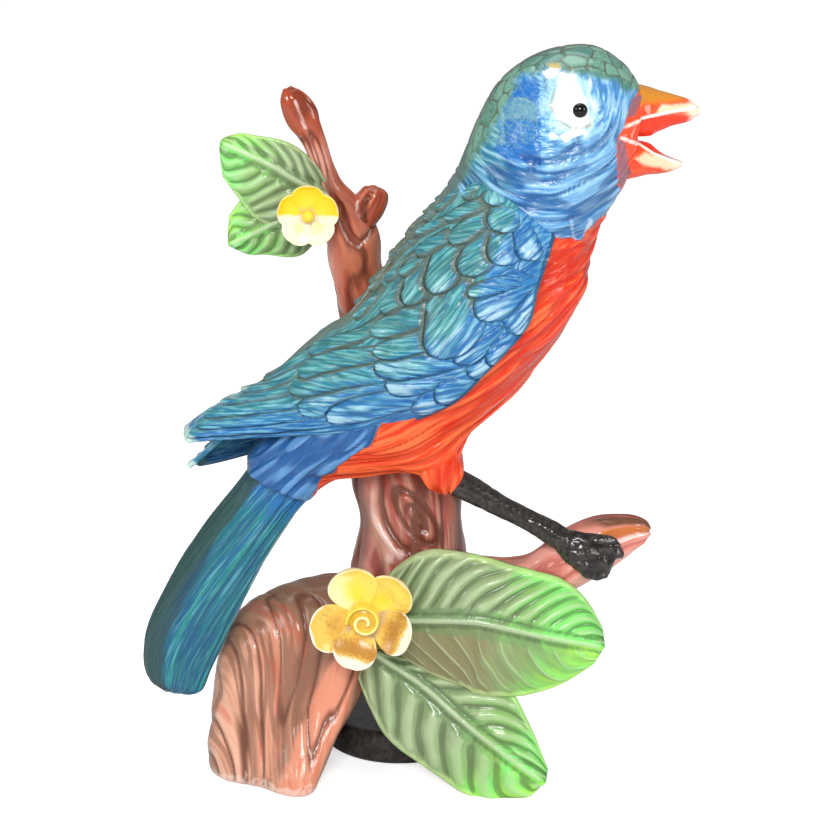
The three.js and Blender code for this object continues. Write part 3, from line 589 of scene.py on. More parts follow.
# The branch is set a little into the trunk's top, so that the slip closes the joint all round
branch_overlap = 0.004
rings, masks, _ = barked(stem_stations, 260, 96, 0.5, 13, joint_share - branch_overlap)
x, z = rings[..., 0], rings[..., 2]
hollow_line = [(-14.6, 149.5), (-13.9, 145.3), (-11.9, 141.7), (-9.4, 140.0), (-6.5, 142.6), (-4.8, 147)]
hollow = ridged(off_line(x, z, hollow_line), 0.9) * (rings[..., 1] < 17)
rings = raised(rings, -0.9 * hollow)
masks["groove"] = np.maximum(masks["groove"], hollow)
masks["flank"] = masked(-16.5 - x, 2.5) * masked(166 - z, 5) * 0.8
masks["end"] = masked(z - 166, 5.0)
masks["gleam"] = 0.6 * ridged(off_line(x + 0.6, z + 1.3, hollow_line), 0.4) * (rings[..., 1] < 17)
masks["gleam"] += 0.7 * ridged(off_line(x, z, [(-25.2, 175.5), (-22.8, 169)]), 0.6) * (rings[..., 1] < 12)
upper_branch = shell("upper_branch_glazed", rings, masks)
dark_bark_glaze = glaze("dark_bark_glaze", "#b8543a", [
    ("#d4805e", 0.46, 2.2, 18, 2.2, 0.2, 0.7),
    ("#74301f", 0.46, 1.8, 18, -2.2, 0.2, 0.75),
    # A painted highlight: paler pink on the ridges
    ("#cc8068", "ridge", 1.4, 14, 1.6, 0.25, 0.45),
    ("#dda091", "flank", 1.6, 14, 1.2, 0.3, 0.8),
    ("#9c4028", "end", 1.6, 5, 1.2, 0.3, 0.8),
    ("#54261c", "groove", 1.0, 8, 0.6, 0.3, 0.6),
    ("#ecd3ca", "gleam", 0.8, 4, 1.2, 0.25, 0.6),
], gloss=0.04, waves=0.16, tooling=0.05, comb=(0.9, 12), flows=True)
fixed(upper_branch, dark_bark_glaze, "dark_bark_glaze", "upper_branch")

stub_stations = [
    [-12.5, 18, 142.5, 3.4], [-9.4, 17, 146.4, 4.3], [-7.1, 16, 149.4, 4.2], [-5.6, 15.5, 152.2, 3.4],
    [-5.1, 15.4, 153.5, 1.8],
]
rings, masks, _ = barked(stub_stations, 90, 96, 0.15, 21)
knot_line = [(-8.0, 151.3), (-8.9, 148.9), (-8.5, 145.3)]
knot = ridged(off_line(rings[..., 0], rings[..., 2], knot_line), 1.2) * (rings[..., 1] < 16)
rings = raised(rings, -0.8 * knot + 0.6 * knot ** 6)
masks["groove"] = np.maximum(masks["groove"] * 0.3, knot)
masks["flank"] = masked(-9.6 - rings[..., 0], 1.2)
masks["ridge"] *= 0.3
masks["gleam"] = 0.7 * ridged(off_line(rings[..., 0], rings[..., 2], [(-10.2, 150.4), (-10.6, 147.4)]), 0.5)
masks["end"] = masks["flank"]
fixed(shell("branch_stub_glazed", rings, masks), dark_bark_glaze, "dark_bark_glaze", "branch_stub")

# Perch branch: a side branch luted to the trunk, with a blunt broken end. It is brown on top, with
# an orange band under its end, and pink below. The top of its end is darkened as painted shade,
# and a pale band along the end is a painted highlight.

perch_stations = [
    [5, 9, 48, 7.5], [14, 8, 50.5, 7.3], [21, 5, 52.5, 7], [28.5, 1, 54, 6.6], [36, -2, 56.8, 6.6],
    [44.5, -4, 63, 7.2], [51, -5, 67.1, 6.8], [57, -5, 69.2, 5.1], [61.3, -5, 69.8, 3.4],
    [63.2, -5, 69.8, 1.2],
]
rings, masks, looks_up = barked(perch_stations, 220, 120, 0.55, 31)
at_end = masked(rings[..., 0] - 49, 3)
masks["top"] = clamped((looks_up - 0.45) / 0.4) * (0.5 + 0.5 * at_end)
masks["band"] = ridged(looks_up - 0.42, 0.22) * at_end
masks["gleam"] = ridged(looks_up - 0.1, 0.12) * at_end
# Painted shade: the top of the end is painted darker
masks["dark"] = masked(looks_up - 0.72, 0.15) * at_end
perch_glaze = glaze("perch_glaze", "#dc8d80", [
    ("#cf7566", 0.48, 3, 18, 1.4, 0.2, 0.6),
    # A painted highlight: paler pink on the ridges
    ("#eab0a2", "ridge", 2, 12, 0.9, 0.25, 0.6),
    ("#9a6a50", "top", 2, 12, 0.6, 0.25, 0.85),
    ("#c97c1e", "band", 2, 12, 0.5, 0.3, 0.95),
    ("#f6e3d8", "gleam", 1, 8, 0.8, 0.25, 0.85),
    # Painted shade on the top of the end
    ("#6a4430", "dark", 2, 10, 0.5, 0.25, 0.9),
    ("#b05a4a", "groove", 1.2, 8, 0.6, 0.25, 0.5),
], gloss=0.05, waves=0.2, tooling=0.06, comb=(1.0, 12), flows=True)
fixed(shell("perch_branch_glazed", rings, masks), perch_glaze, "bark_glaze", "perch_branch")

# Bird body: head, body and thighs are one hollow casting, with feathers tooled into the clay while
# it was leather-hard. It is brushed blue, with a red-orange breast and white round the eye.


def side_rings(stations, t, angle):
    """Rings given by the side view's outline: [x, z] above, [x, z] below, and the half-depth."""
    at = through(stations, t)
    centre = (at[..., 0:2] + at[..., 2:4]) / 2
    flat = centre + (at[..., 0:2] - centre) * np.cos(angle)[..., None]
    return np.stack([flat[..., 0], at[..., 4] * np.sin(angle), flat[..., 1]], -1)


def swelled(points, centre, radius, blend):
    """A skin pushed out over a ball, with a soft fillet round it."""
    away = points - centre
    far = np.linalg.norm(away, axis=-1)
    outer = 0.5 * (far + radius + np.sqrt((far - radius) ** 2 + blend ** 2))
    near = clamped((radius + 6 - far) / 4)
    grown = far + (outer - far) * near
    return centre + away * (grown / np.maximum(far, 1e-6))[..., None]


def folded(angle):
    """Angles from the upper edge down to the lower one, the same on both sides of a piece."""
    return np.minimum(angle, 2 * math.pi - angle)


def plated(across, along, size, seed):
    """Irregular plates on a surface: the distance to each plate's edge, and each plate's own tone."""
    table = np.random.default_rng(seed).uniform(0.12, 0.88, (64, 64, 3))
    across, along = across / size, along / size
    column, row = np.floor(across).astype(int), np.floor(along).astype(int)
    nearest = np.full(across.shape, 9.0)
    second = np.full(across.shape, 9.0)
    tone = np.zeros(across.shape)
    for beside in range(-1, 2):
        for beyond in range(-1, 2):
            seed_place = table[(column + beside) % 64, (row + beyond) % 64]
            far = np.hypot(
                column + beside + seed_place[..., 0] - across, row + beyond + seed_place[..., 1] - along,
            )
            second = np.minimum(second, np.maximum(far, nearest))
            tone = np.where(far < nearest, seed_place[..., 2], tone)
            nearest = np.minimum(nearest, far)
    return (second - nearest) * size, tone


def mottled(x, z):
    """The mauve blotches at the root of the bill."""
    return np.maximum(*(masked(inside(x, z, zone), 0.5) for zone in bill_patches))


body_width = 43.0
# The last value of a body station is the half-depth, as a share of the body's
body_stations = [[*row[:4], row[4] * body_width / 2] for row in [
    [57, 172, 56.5, 165, 0.18], [57.9, 177, 55.6, 160, 0.37], [57.2, 181, 54.2, 156.4, 0.49],
    [52.9, 186.3, 51.8, 152.3, 0.67], [45.3, 189.9, 50.2, 148.8, 0.79], [34.2, 188.2, 48.6, 145, 0.84],
    [25.1, 182.2, 47.5, 140.8, 0.85], [19.8, 173.7, 47, 137, 0.83], [15.2, 162.5, 46.2, 132.5, 0.84],
    [10.6, 154, 44.5, 128, 0.9], [3.8, 145.3, 40.3, 120, 0.98], [-3.6, 134.7, 35, 113, 1],
    [-10.5, 124.4, 29, 105, 0.99], [-17, 116, 19.5, 96, 0.93], [-23.5, 106.5, 10.5, 87.5, 0.79],
    [-31.5, 98.5, -3.5, 84.2, 0.6], [-37, 91, -15.6, 82.4, 0.45], [-38.5, 85, -22.2, 77.2, 0.37],
]]
t, angle = lattice(430, 224)
rings = side_rings(body_stations, t, angle)
for side in (-1, 1):
    rings = swelled(rings, np.array([8.5, side * 7.0, 91.5]), 5.2, 4.6)
x, y, z = rings[..., 0], rings[..., 1], rings[..., 2]
body_run, body_radius = 150, 20
along, girth = t * body_run, folded(angle) * body_radius

orange_zone = [
    (36.9, 146.5), (41, 146), (43.5, 145.4), (45.9, 147.7), (50, 151), (62, 140), (60, 100), (20, 66),
    (-21.7, 70), (-21.3, 80), (-19.9, 82), (-16.5, 86.5), (-14.1, 89.5), (-10.3, 92.9), (-6.4, 95.6),
    (-3, 103), (10, 112), (25, 128), (33, 140),
]
crown_zone = [
    (62, 181), (57.7, 180.3), (55.1, 181), (50.7, 184.2), (47.9, 184.7), (43.1, 185), (40.3, 185.4),
    (38.4, 186.4), (34.6, 186.8), (32.7, 185.4), (28.9, 184.7), (26.1, 182.4), (23.8, 177.7), (21, 172),
    (17.2, 165.3), (13.9, 160.5), (0, 165), (10, 200), (62, 200),
]
eye_patch = [
    (38.1, 184.2), (40.9, 184.8), (42.3, 182.7), (43, 179.5), (43.9, 175.9), (44.3, 172.9), (40.3, 172.5),
    (37.9, 173.9), (35.8, 177.1), (36.6, 179.9),
]
cheek_patch = [
    (34.9, 170.7), (37.9, 171.3), (41.9, 171.9), (44.8, 171.7), (42.8, 170.7), (40, 169.1), (35.6, 169.5),
]
brow_patch = [(33.7, 184.6), (36.1, 185.6), (38.1, 185.4), (36.5, 183.1), (34.5, 183.1)]
brow_spot = [(34.9, 186), (37.6, 186.4), (38.3, 185.2), (36.5, 185)]
# Pale streaks right of the eye are painted highlights
eye_highlight_streak = [
    (43.8, 183), (44.8, 182.6), (44.9, 179.4), (45.8, 178.8), (46.3, 177.2), (45.6, 173.8), (44.6, 173),
]
# The face is painted a lighter sky blue with a hard edge towards the back: a painted reflection of a soft box
face_reflection_zone = [
    (33.2, 190), (54, 190), (57, 180), (53, 168), (51, 157), (44, 152), (37, 157), (33.4, 163.3),
]
deep_zone = [
    (33, 182.7), (33.4, 163.3), (25.7, 164.3), (22.8, 166.6), (23.7, 170.4), (25.6, 174.7), (24.1, 176.6),
    (26.4, 182.7),
]
bill_zone = [
    (59, 180.6), (55.2, 178), (54, 175.4), (52.9, 172.5), (51.8, 169.6), (51.1, 167.7), (51.7, 162.9),
    (52.3, 158), (54, 155), (66, 150), (68, 185),
]
lore_zone = [(45, 184), (53, 181), (53, 170), (45, 171)]
culmen_zone = [(57.6, 182), (57.2, 177.4), (59.5, 175), (62, 175), (62, 183)]
bill_patches = [
    [(55.1, 178.7), (58, 178.5), (57.4, 176.3), (56.2, 174.4), (53.6, 173.9), (52.9, 172.5), (54, 175.8)],
    [(51.1, 169.6), (52.5, 169.1), (53.8, 167.7), (54.1, 165.3), (54.4, 162.9), (56.2, 159.9), (54.8, 159),
     (52.9, 156.5), (52.1, 159.9), (51.7, 164.8)],
]
upper_edge_line = [(52.9, 172.0), (58.4, 173.2), (64, 174.3), (71, 175.2)]
lower_edge_line = [(52.6, 169.4), (57.2, 167.2), (61.4, 164.5), (67.3, 162.2)]
bill_edge_lines = [upper_edge_line, lower_edge_line]
# Pale streaks at the throat are painted highlights
throat_highlight_streaks = [([(45.6, 149.6), (45.0, 145.4)], 1.0), ([(41, 150), (42, 145)], 0.5)]

orange = masked(inside(x, z, orange_zone) + 0.8 * lumps(rings / 2.6, 49), 0.9)
crown = masked(inside(x, z, crown_zone) + 1.6 + 1.2 * lumps(rings / 4, 50), 1.6)
patch = inside(x, z, eye_patch)
bill = masked(inside(x, z, bill_zone), 0.4)
undertail = clamped((-2 - x) / 6) * (z < 112) * (1 - orange)
across_rump, along_rump = (x - z) * 0.7, (x + z) * 0.7
on_back = np.cos(angle) > 0

# Under the face the tool ran in long smiling strokes, from the nape round to the throat
face_x, face_z = 34.5, 181.0
from_face = np.hypot(x - face_x, z - face_z)
round_face = np.arctan2(x - face_x, face_z - z) * 22
smile = from_face + 1.3 * lumps(rings / 8, 48)
collar = masked(167.5 - z + 0.35 * (x - 33), 1.5) * (1 - orange) * clamped((x + 6) / 8)
nape = (1 - collar) * masked(33.2 - x, 0.8) * clamped((z - 150) / 6) * (1 - crown)
ridge, crease = np.zeros(x.shape), np.zeros(x.shape)
relief = np.zeros(x.shape)
for area, places, depth, seed in (
    (collar, strokes(smile, round_face, 1.55, 8.5), 0.5, 41),
    (collar, strokes(smile, round_face, 0.8, 5), 0.16, 42),
    (nape, strokes(z + 0.25 * x, x, 2.2, 8), 0.12, 43),
    (orange, strokes(girth + 0.55 * along, along, 2.3, 15), 0.5, 44),
    (orange, strokes(girth + 0.5 * along, along, 1.0, 8), 0.12, 45),
    (undertail, strokes(across_rump + 0.8 * lumps(rings / 12, 46), along_rump, 1.5, 10), 0.6, 47),
):
    raised_part, sunk_part = tooled(places, seed, 0.28)
    relief += area * depth * (raised_part - 0.5 - 0.5 * sunk_part)
    strength = area * depth / 0.5
    ridge = np.maximum(ridge, strength * raised_part)
    crease = np.maximum(crease, strength * sunk_part)

# The crown and nape are scored into small plates, and the cheek round the eye is left soft
plate_edge, plate_tone = plated(girth + 1.4 * lumps(rings / 5, 51), along, 4.5, 52)
nape_edge, nape_tone = plated(z * 1.25 + 1.5 * lumps(rings / 6, 53), x, 6.6, 54)
plate_edge = np.where(crown > 0.3, plate_edge, nape_edge)
plate_tone = np.where(crown > 0.3, plate_tone, nape_tone)
scored = np.maximum(crown, nape)
relief += scored * (0.42 * clamped(plate_edge / 1.1) ** 0.5 - 0.3)
dimpled = (1 - collar) * (1 - orange) * (1 - scored) * (1 - bill) * clamped((z - 160) / 6)
relief += dimpled * 0.22 * lumps(rings / 3.6, 55)
for edge_line in bill_edge_lines:
    relief += 0.3 * bill * ridged(off_line(x, z, edge_line), 0.5)
rings = raised(rings, relief)

fleck = lumps(strokes(x + 0.2 * z, z, 1.1, 3.2), 56)
# The white is the paint of the eye patch, cheek and brow, with painted highlight streaks right of the eye
white = np.maximum.reduce([
    masked(patch + 0.9 * lumps(rings / 1.9, 57), 1.0),
    masked(inside(x, z, cheek_patch) - 0.3 + 0.9 * lumps(rings / 1.5, 58), 0.9),
    masked(inside(x, z, brow_patch) + 0.5 * lumps(rings / 1.3, 59), 0.7),
    0.6 * masked(inside(x, z, eye_highlight_streak) + 0.9 * fleck, 0.8),
])
masks = {
    # The ridge mask carries a painted highlight along the raised strokes
    "orange": orange, "crown": crown, "ridge": clamped(ridge - 0.35) * 1.5, "groove": crease,
    "red_groove": crease * orange,
    "plate_line": scored * ridged(plate_edge, 0.5) * (0.35 + 0.65 * crown),
    "combed": 0.42 * (1 - crown) * (1 - bill) * (1 - 0.8 * white),
    "plate_tone": scored * plate_tone, "white": white,
    "halo": masked(patch + 2.4 + 1.4 * lumps(rings / 2.4, 60), 2.4) * (1 - crown),
    "tan_line": ridged(patch + 0.35, 0.3) * np.maximum(masked(174.5 - z, 1.5), masked(36.8 - x, 0.5)),
    "spot": masked(inside(x, z, brow_spot), 0.5),
    "deep": masked(inside(x, z, deep_zone), 1.2) * (1 - crown), "face": masked(inside(x, z, face_reflection_zone), 0.35),
    "teal": masked(24.5 - x - 0.2 * (z - 170), 2.5) * masked(z - 156, 4),
    "lore": masked(inside(x, z, lore_zone), 1.5) * (0.5 + 0.5 * fleck),
    "bill": bill, "bill_patch": mottled(x, z) * bill,
    "tomium": np.maximum(*(ridged(off_line(x, z, line), 0.5) for line in bill_edge_lines)) * bill,
    "culmen": masked(inside(x, z, culmen_zone), 0.6),
    "saddle": masked(17 - x, 2) * masked(x + 22, 3) * masked(8 - np.abs(y), 2) * on_back,
    # The rim mask is painted shade: a dark olive band along the middle line of the crown and back, at the
    # outline
    "rim": clamped(1.1 - np.abs(y) / 4.5) * on_back * (1 - bill),
    "belly": np.where(orange > 0.3, 0.4 + 0.2 * clamped((116 - z) / 14), -1), "undertail": undertail,
    # Painted highlights: pale streaks at the throat
    "painted_highlight_streak": sum(share * ridged(off_line(x, z, line), 0.8) for line, share in throat_highlight_streaks),
    "across": np.select([orange > 0.5, undertail > 0.5], [girth + 0.5 * along, across_rump], smile),
    "along": np.select([orange > 0.5, undertail > 0.5], [along, along_rump], round_face),
}
body_glaze = glaze("blue_and_orange_glaze", "#4c9ad0", [
    ("#2a6ab0", 0.5, 1.6, 9, 1.6, 0.15, 0.5),
    ("#3f8c98", "teal", 2.0, 6, 1.4, 0.35, 0.85),
    # A painted reflection of a soft box: lighter sky blue over the face
    ("#74b0da", "face", 1.6, 8, 0.12, 0.12, 0.65),
    ("#4a8cc8", "lore", 1.0, 4, 0.6, 0.35, 0.7),
    # Painted highlights: scattered pale blue streaks over the body
    ("#b4daec", 0.38, 1.0, 6.5, 2.6, 0.2, 0.55),
    ("#1c68ac", "undertail", 1.2, 9, 1.2, 0.35, 0.8),
    ("#1f5290", 0.36, 1.0, 6.5, -2.6, 0.2, 0.5),
    ("#1e66b2", "deep", 2.0, 5, 0.35, 0.16, 0.82),
    # A painted highlight: pale blue on the raised strokes
    ("#8cbce4", "ridge", 0.8, 6, 0.9, 0.3, 0.3),
    ("#173f7c", "groove", 0.7, 5, 0.4, 0.3, 0.6),
    ("#b4dcea", "halo", 1.0, 1.6, 1.2, 0.35, 0.65),
    ("#4f7d66", "crown", 1.6, 2.5, 0.9, 0.3, 0.9),
    ("#86b49c", "plate_tone", 0.8, 1.2, 0.9, 0.2, 0.55),
    ("#545a48", "plate_line", 0.8, 1.2, 0.6, 0.3, 0.85),
    # Painted shade along the outline of the crown and back
    ("#4d5244", "rim", 2.4, 2.4, 0.5, 0.25, 0.7),
    # Painted highlights: pale streaks at the throat
    ("#cfe0ee", "painted_highlight_streak", 0.9, 5, 1.2, 0.25, 0.75),
    ("#f23206", "orange", 1.5, 6, 0.3, 0.12, 1.0),
    ("#ff7840", "belly", 1.4, 9, 2.4, 0.25, 0.8),
    ("#c42000", "red_groove", 0.8, 7, 0.5, 0.35, 0.7),
    ("#f2f4ee", "white", 1.2, 1.2, 0.3, 0.3, 0.93),
    ("#a8996a", "tan_line", 0.7, 1.5, 0.7, 0.3, 0.7),
    ("#b89c3c", "spot", 1.0, 1.0, 0.6, 0.3, 0.85),
    ("#56706a", "saddle", 1.5, 4, 0.6, 0.3, 0.95),
    ("#f2502e", "bill", 1.5, 3, 0.3, 0.2, 1.0),
    ("#c98430", "culmen", 1.5, 3, 0.4, 0.3, 0.95),
    ("#8d6676", "bill_patch", 1.2, 1.8, 0.6, 0.25, 0.9),
    ("#f6e0d4", "tomium", 0.8, 2.0, 0.5, 0.25, 0.85),
], gloss=0.08, waves=0.08, tooling="combed", comb=(1.0, 6.5), flows=True)
fixed(shell("bird_body_glazed", rings, masks), body_glaze, "blue_and_orange_glaze", "bird_body")

# The thighs are the casting's two lower ends, which the legs go into
for side, name, drop in ((-1, "near_thigh", 0.0), (1, "far_thigh", 2.5)):
    t, angle = lattice(90, 120)
    thigh = limb([
        [7.6, side * 7, 96, 4.6], [9.2, side * 7, 91.6, 5.9], [10.6, side * 7, 87.2 - drop / 2, 6.0],
        [11.9, side * 7, 83.6 - drop, 4.9], [12.6, side * 7, 81.2 - drop, 2.6],
        [12.8, side * 7, 80.4 - drop, 0.6],
    ], 90, 120)
    girth, along = folded(angle) * 5.5, t * 17
    raised_part, sunk_part = tooled(strokes(girth + 0.4 * along, along, 2.3, 15), 63 + side, 0.28)
    thigh = raised(thigh, 0.4 * (raised_part - 0.5 - 0.5 * sunk_part))
    fixed(shell(f"{name}_glazed", thigh, {
        "orange": 1 + 0 * t, "belly": 0.55 + 0 * t, "combed": 0.4 + 0 * t, "red_groove": 0.8 * sunk_part,
        "across": girth + 0.4 * along, "along": along,
    }), body_glaze, "blue_and_orange_glaze")

# Wings: each is a pressed blade luted along the flank. Its feathers are carved one by one: rows of
# round scales on the shoulder, two stacks of long coverts, then flight feathers to the tip.

# A wing station is the flank's outline, [x, z] above and below, its half-depth as a share of the
# body's, and how far round the flank the wing reaches, in degrees
wing_stations = [
    [16.6, 162.8, 37, 147, 0.85, 100], [10.4, 154, 35.5, 143, 0.94, 105], [3.4, 145.6, 33, 135, 1.02, 110],
    [-4.4, 135, 30.5, 126, 1.05, 112], [-12.2, 125, 21, 115, 1.05, 112], [-21, 119.5, 11.5, 106, 0.98, 115],
    [-31.5, 110, -6.5, 98.5, 0.74, 120], [-40, 105, -24, 96.5, 0.56, 125],
    [-47.6, 100.8, -39, 95.3, 0.44, 130], [-53.6, 96.4, -51, 94, 0.37, 135],
]
wing_lift = 2.2
wing_thickness = 3.4
far_wing_drop = 10.8
wing_run = 104.0
wing_girth = [36, 38.6, 43.1, 47.7, 48.2, 47.8, 43.8, 34, 24.9, 18.1, 13.5]
# Each feather is made longer and wider than the part given below, because others lie over its root
# and sides
feather_reach = 1.45
feather_spread = 0.62

# A feather is [tip s, tip v, root s, root v, width in mm]: s runs from shoulder to tip, and v from
# the back's middle line to the wing's lower edge
scales = [
    [0.145, 0.13, 0.075, 0.19, 3.0], [0.08, 0.31, 0.03, 0.33, 2.8], [0.15, 0.28, 0.075, 0.42, 4.0],
    [0.195, 0.42, 0.095, 0.51, 5.4], [0.035, 0.58, 0.02, 0.49, 5.8], [0.11, 0.66, 0.05, 0.63, 6.8],
    [0.19, 0.77, 0.105, 0.71, 6.8], [0.15, 0.90, 0.05, 0.77, 5.2], [0.25, 0.62, 0.155, 0.61, 7.2],
    [0.31, 0.53, 0.215, 0.43, 6.8], [0.255, 0.26, 0.195, 0.34, 4.3], [0.22, 0.13, 0.16, 0.25, 3.4],
    [0.355, 0.44, 0.26, 0.32, 6.0], [0.31, 0.25, 0.26, 0.27, 4.3], [0.395, 0.30, 0.315, 0.33, 6.0],
    [0.335, 0.15, 0.28, 0.21, 3.8], [0.44, 0.15, 0.375, 0.15, 3.8], [0.375, 0.07, 0.325, 0.06, 2.8],
    [0.295, 0.0, 0.245, 0.11, 2.9], [0.245, 0.0, 0.2, 0.07, 2.8], [0.185, 0.09, 0.14, 0.11, 2.4],
    [0.29, 0.65, 0.235, 0.80, 4.4], [0.34, 0.79, 0.235, 0.85, 8.0], [0.35, 1.0, 0.205, 0.96, 8.6],
    [0.43, 0.79, 0.315, 0.60, 9.6], [0.44, 0.86, 0.375, 0.83, 6.4], [0.465, 0.98, 0.39, 0.96, 7.6],
    [0.425, 1.0, 0.36, 0.98, 6.8],
]
coverts = [
    [0.44, 0.33, 0.35, 0.54, 6.0], [0.49, 0.46, 0.385, 0.64, 6.4], [0.53, 0.55, 0.43, 0.77, 7.2],
    [0.56, 0.68, 0.44, 0.84, 7.6], [0.585, 0.90, 0.5, 0.95, 6.4], [0.545, 0.91, 0.445, 1.0, 6.8],
    [0.58, 0.17, 0.445, 0.30, 5.2], [0.62, 0.25, 0.495, 0.46, 5.6], [0.655, 0.32, 0.535, 0.57, 6.0],
    [0.69, 0.54, 0.55, 0.67, 6.4], [0.675, 0.70, 0.56, 0.82, 6.0],
]
flight_feathers = [
    [0.69, 0.0, 0.535, 0.23, 4.4], [0.765, 0.0, 0.59, 0.25, 4.4], [0.835, 0.0, 0.63, 0.32, 4.4],
    [0.90, 0.12, 0.66, 0.45, 4.4], [0.94, 0.27, 0.68, 0.60, 4.4], [0.985, 0.42, 0.69, 0.74, 4.4],
    [1.02, 0.62, 0.70, 0.86, 4.6], [1.04, 0.86, 0.66, 0.98, 4.6],
]


def wing_point(side, s, v, lift=0.0):
    """A wing's surface, with its feathers standing up from it by a lift."""
    at = through(wing_stations, s)
    full = np.radians(at[..., 5])
    turn = 0.06 + v * (full - 0.06)
    chord = at[..., 2:4] - at[..., 0:2]
    share = (1 - np.cos(turn)) / (1 - np.cos(full)) - lift * np.cos(turn) / np.linalg.norm(chord, axis=-1)
    flat = at[..., 0:2] + chord * share[..., None]
    proud = wing_lift * clamped(s / 0.12) ** 0.6
    depth = (at[..., 4] * body_width / 2 + proud + lift) * np.sin(turn)
    ease = clamped((s - 0.45) / 0.55)
    drop = far_wing_drop * ease * ease * (3 - 2 * ease) * (side > 0)
    return np.stack([flat[..., 0], side * depth, flat[..., 1] - drop], -1)


def unrolled(s, v):
    """Millimetres along and across a wing's blade."""
    return s * wing_run, v * np.interp(s, np.linspace(0, 1, len(wing_girth)), wing_girth)


def shingled(along, across, feathers):
    """Feathers laid over each other from the wing's tip to its shoulder: how high each point lies,
    how far inside its feather's edge, and its place back from the feather's tip and beside its axis."""
    height = np.zeros(along.shape)
    edge = np.full(along.shape, -9.0)
    back, beside = along + 0.0, across + 0.0
    # Millimetres beyond a feather's edge where the groove round it still shows
    groove_reach = 1.4
    for number, (tip_s, tip_v, root_s, root_v, width, lift, slant) in enumerate(feathers):
        tip, root = np.array(unrolled(tip_s, tip_v)), np.array(unrolled(root_s, root_v))
        root = tip + (root - tip) * feather_reach
        length = np.linalg.norm(root - tip)
        axis = (root - tip) / length
        from_tip = (along - tip[0]) * axis[0] + (across - tip[1]) * axis[1]
        off_axis = (across - tip[1]) * axis[0] - (along - tip[0]) * axis[1]
        half = width * feather_spread
        round_end = min(half * 1.25, length * 0.7)
        rounded = np.sqrt(clamped(1 - (1 - from_tip / round_end) ** 2))
        tapered = 1 - 0.2 * clamped((from_tip - round_end) / max(length - round_end, 1e-6)) ** 2
        outline = half * np.where(from_tip < round_end, rounded, tapered)
        depth_in = np.minimum(outline - np.abs(off_axis), from_tip * 1.2)
        covered = (depth_in > 0) & (from_tip < length)
        rooted = clamped((length - from_tip) / (0.35 * length))
        dome = (1 - 0.4 * (off_axis / half) ** 2) * (1 - np.exp(-np.maximum(depth_in, 0) / 0.45))
        swell = lift * clamped(1 - 0.75 * from_tip / length) * dome
        height = np.where(covered, height + (swell - height) * rooted, height)
        edge = np.where(covered, np.maximum(depth_in * rooted, np.where(rooted < 1, edge, -9)), edge)
        near = (from_tip > -groove_reach) & (from_tip < length) & (depth_in <= 0)
        near = near & (depth_in > -groove_reach)
        edge = np.where(near & (edge > 0), np.minimum(edge, -depth_in * 0.8), edge)
        # The feather's number moves its strokes, so that no two feathers are tooled alike
        back = np.where(covered, from_tip + number * 9, back)
        beside = np.where(covered, off_axis + from_tip * slant + number * 17, beside)
    return height, edge, back, beside


# Each row of feathers adds how high its tips stand and how far its barbs slant
feathers = [row + [1.0, 0.1] for row in flight_feathers] + [row + [1.45, 0.45] for row in coverts]
feathers = sorted(feathers, key=lambda row: -row[0])
feathers += sorted([row + [1.55, 0.7] for row in scales], key=lambda row: -row[0])

teal_glaze = glaze("teal_glaze", "#3a8f8c", [
    ("#2a7690", 0.46, 1.6, 5, 1.8, 0.2, 0.6),
    ("#2e76b8", "blue", 2.4, 6, 1.1, 0.35, 0.92),
    ("#266eb2", "feather_rim", 1.2, 3, 0.8, 0.35, 0.75),
    ("#8ccccf", 0.4, 1.0, 6, 2.2, 0.25, 0.5),
    ("#20507c", 0.34, 1.0, 6, -2.2, 0.25, 0.4),
    ("#c4e4ea", "gleam", 0.6, 3, 1.3, 0.25, 0.5),
    ("#35544e", "crease", 0.6, 4, 0.5, 0.3, 0.4),
    ("#1d4a86", "blue_crease", 0.6, 4, 0.5, 0.3, 0.4),
    ("#5c6c62", "ground", 1.0, 2.5, 0.6, 0.3, 0.9),
    ("#66705e", "back", 2, 4, 0.9, 0.3, 0.8),
    ("#2a5c92", "deep_edge", 0.8, 3, 0.5, 0.3, 0.25),
    ("#c4dcd0", "pale_tip", 1.6, 5, 1.2, 0.3, 0.8),
    # Painted shade: a dark line along the wing's lower edge, where it turns under
    ("#1c4a70", "edge_line", 1, 10, 0.2, 0.25, 0.9),
], gloss=0.1, waves=0.08, tooling=0.32, comb=(0.9, 5.5), flows=True)

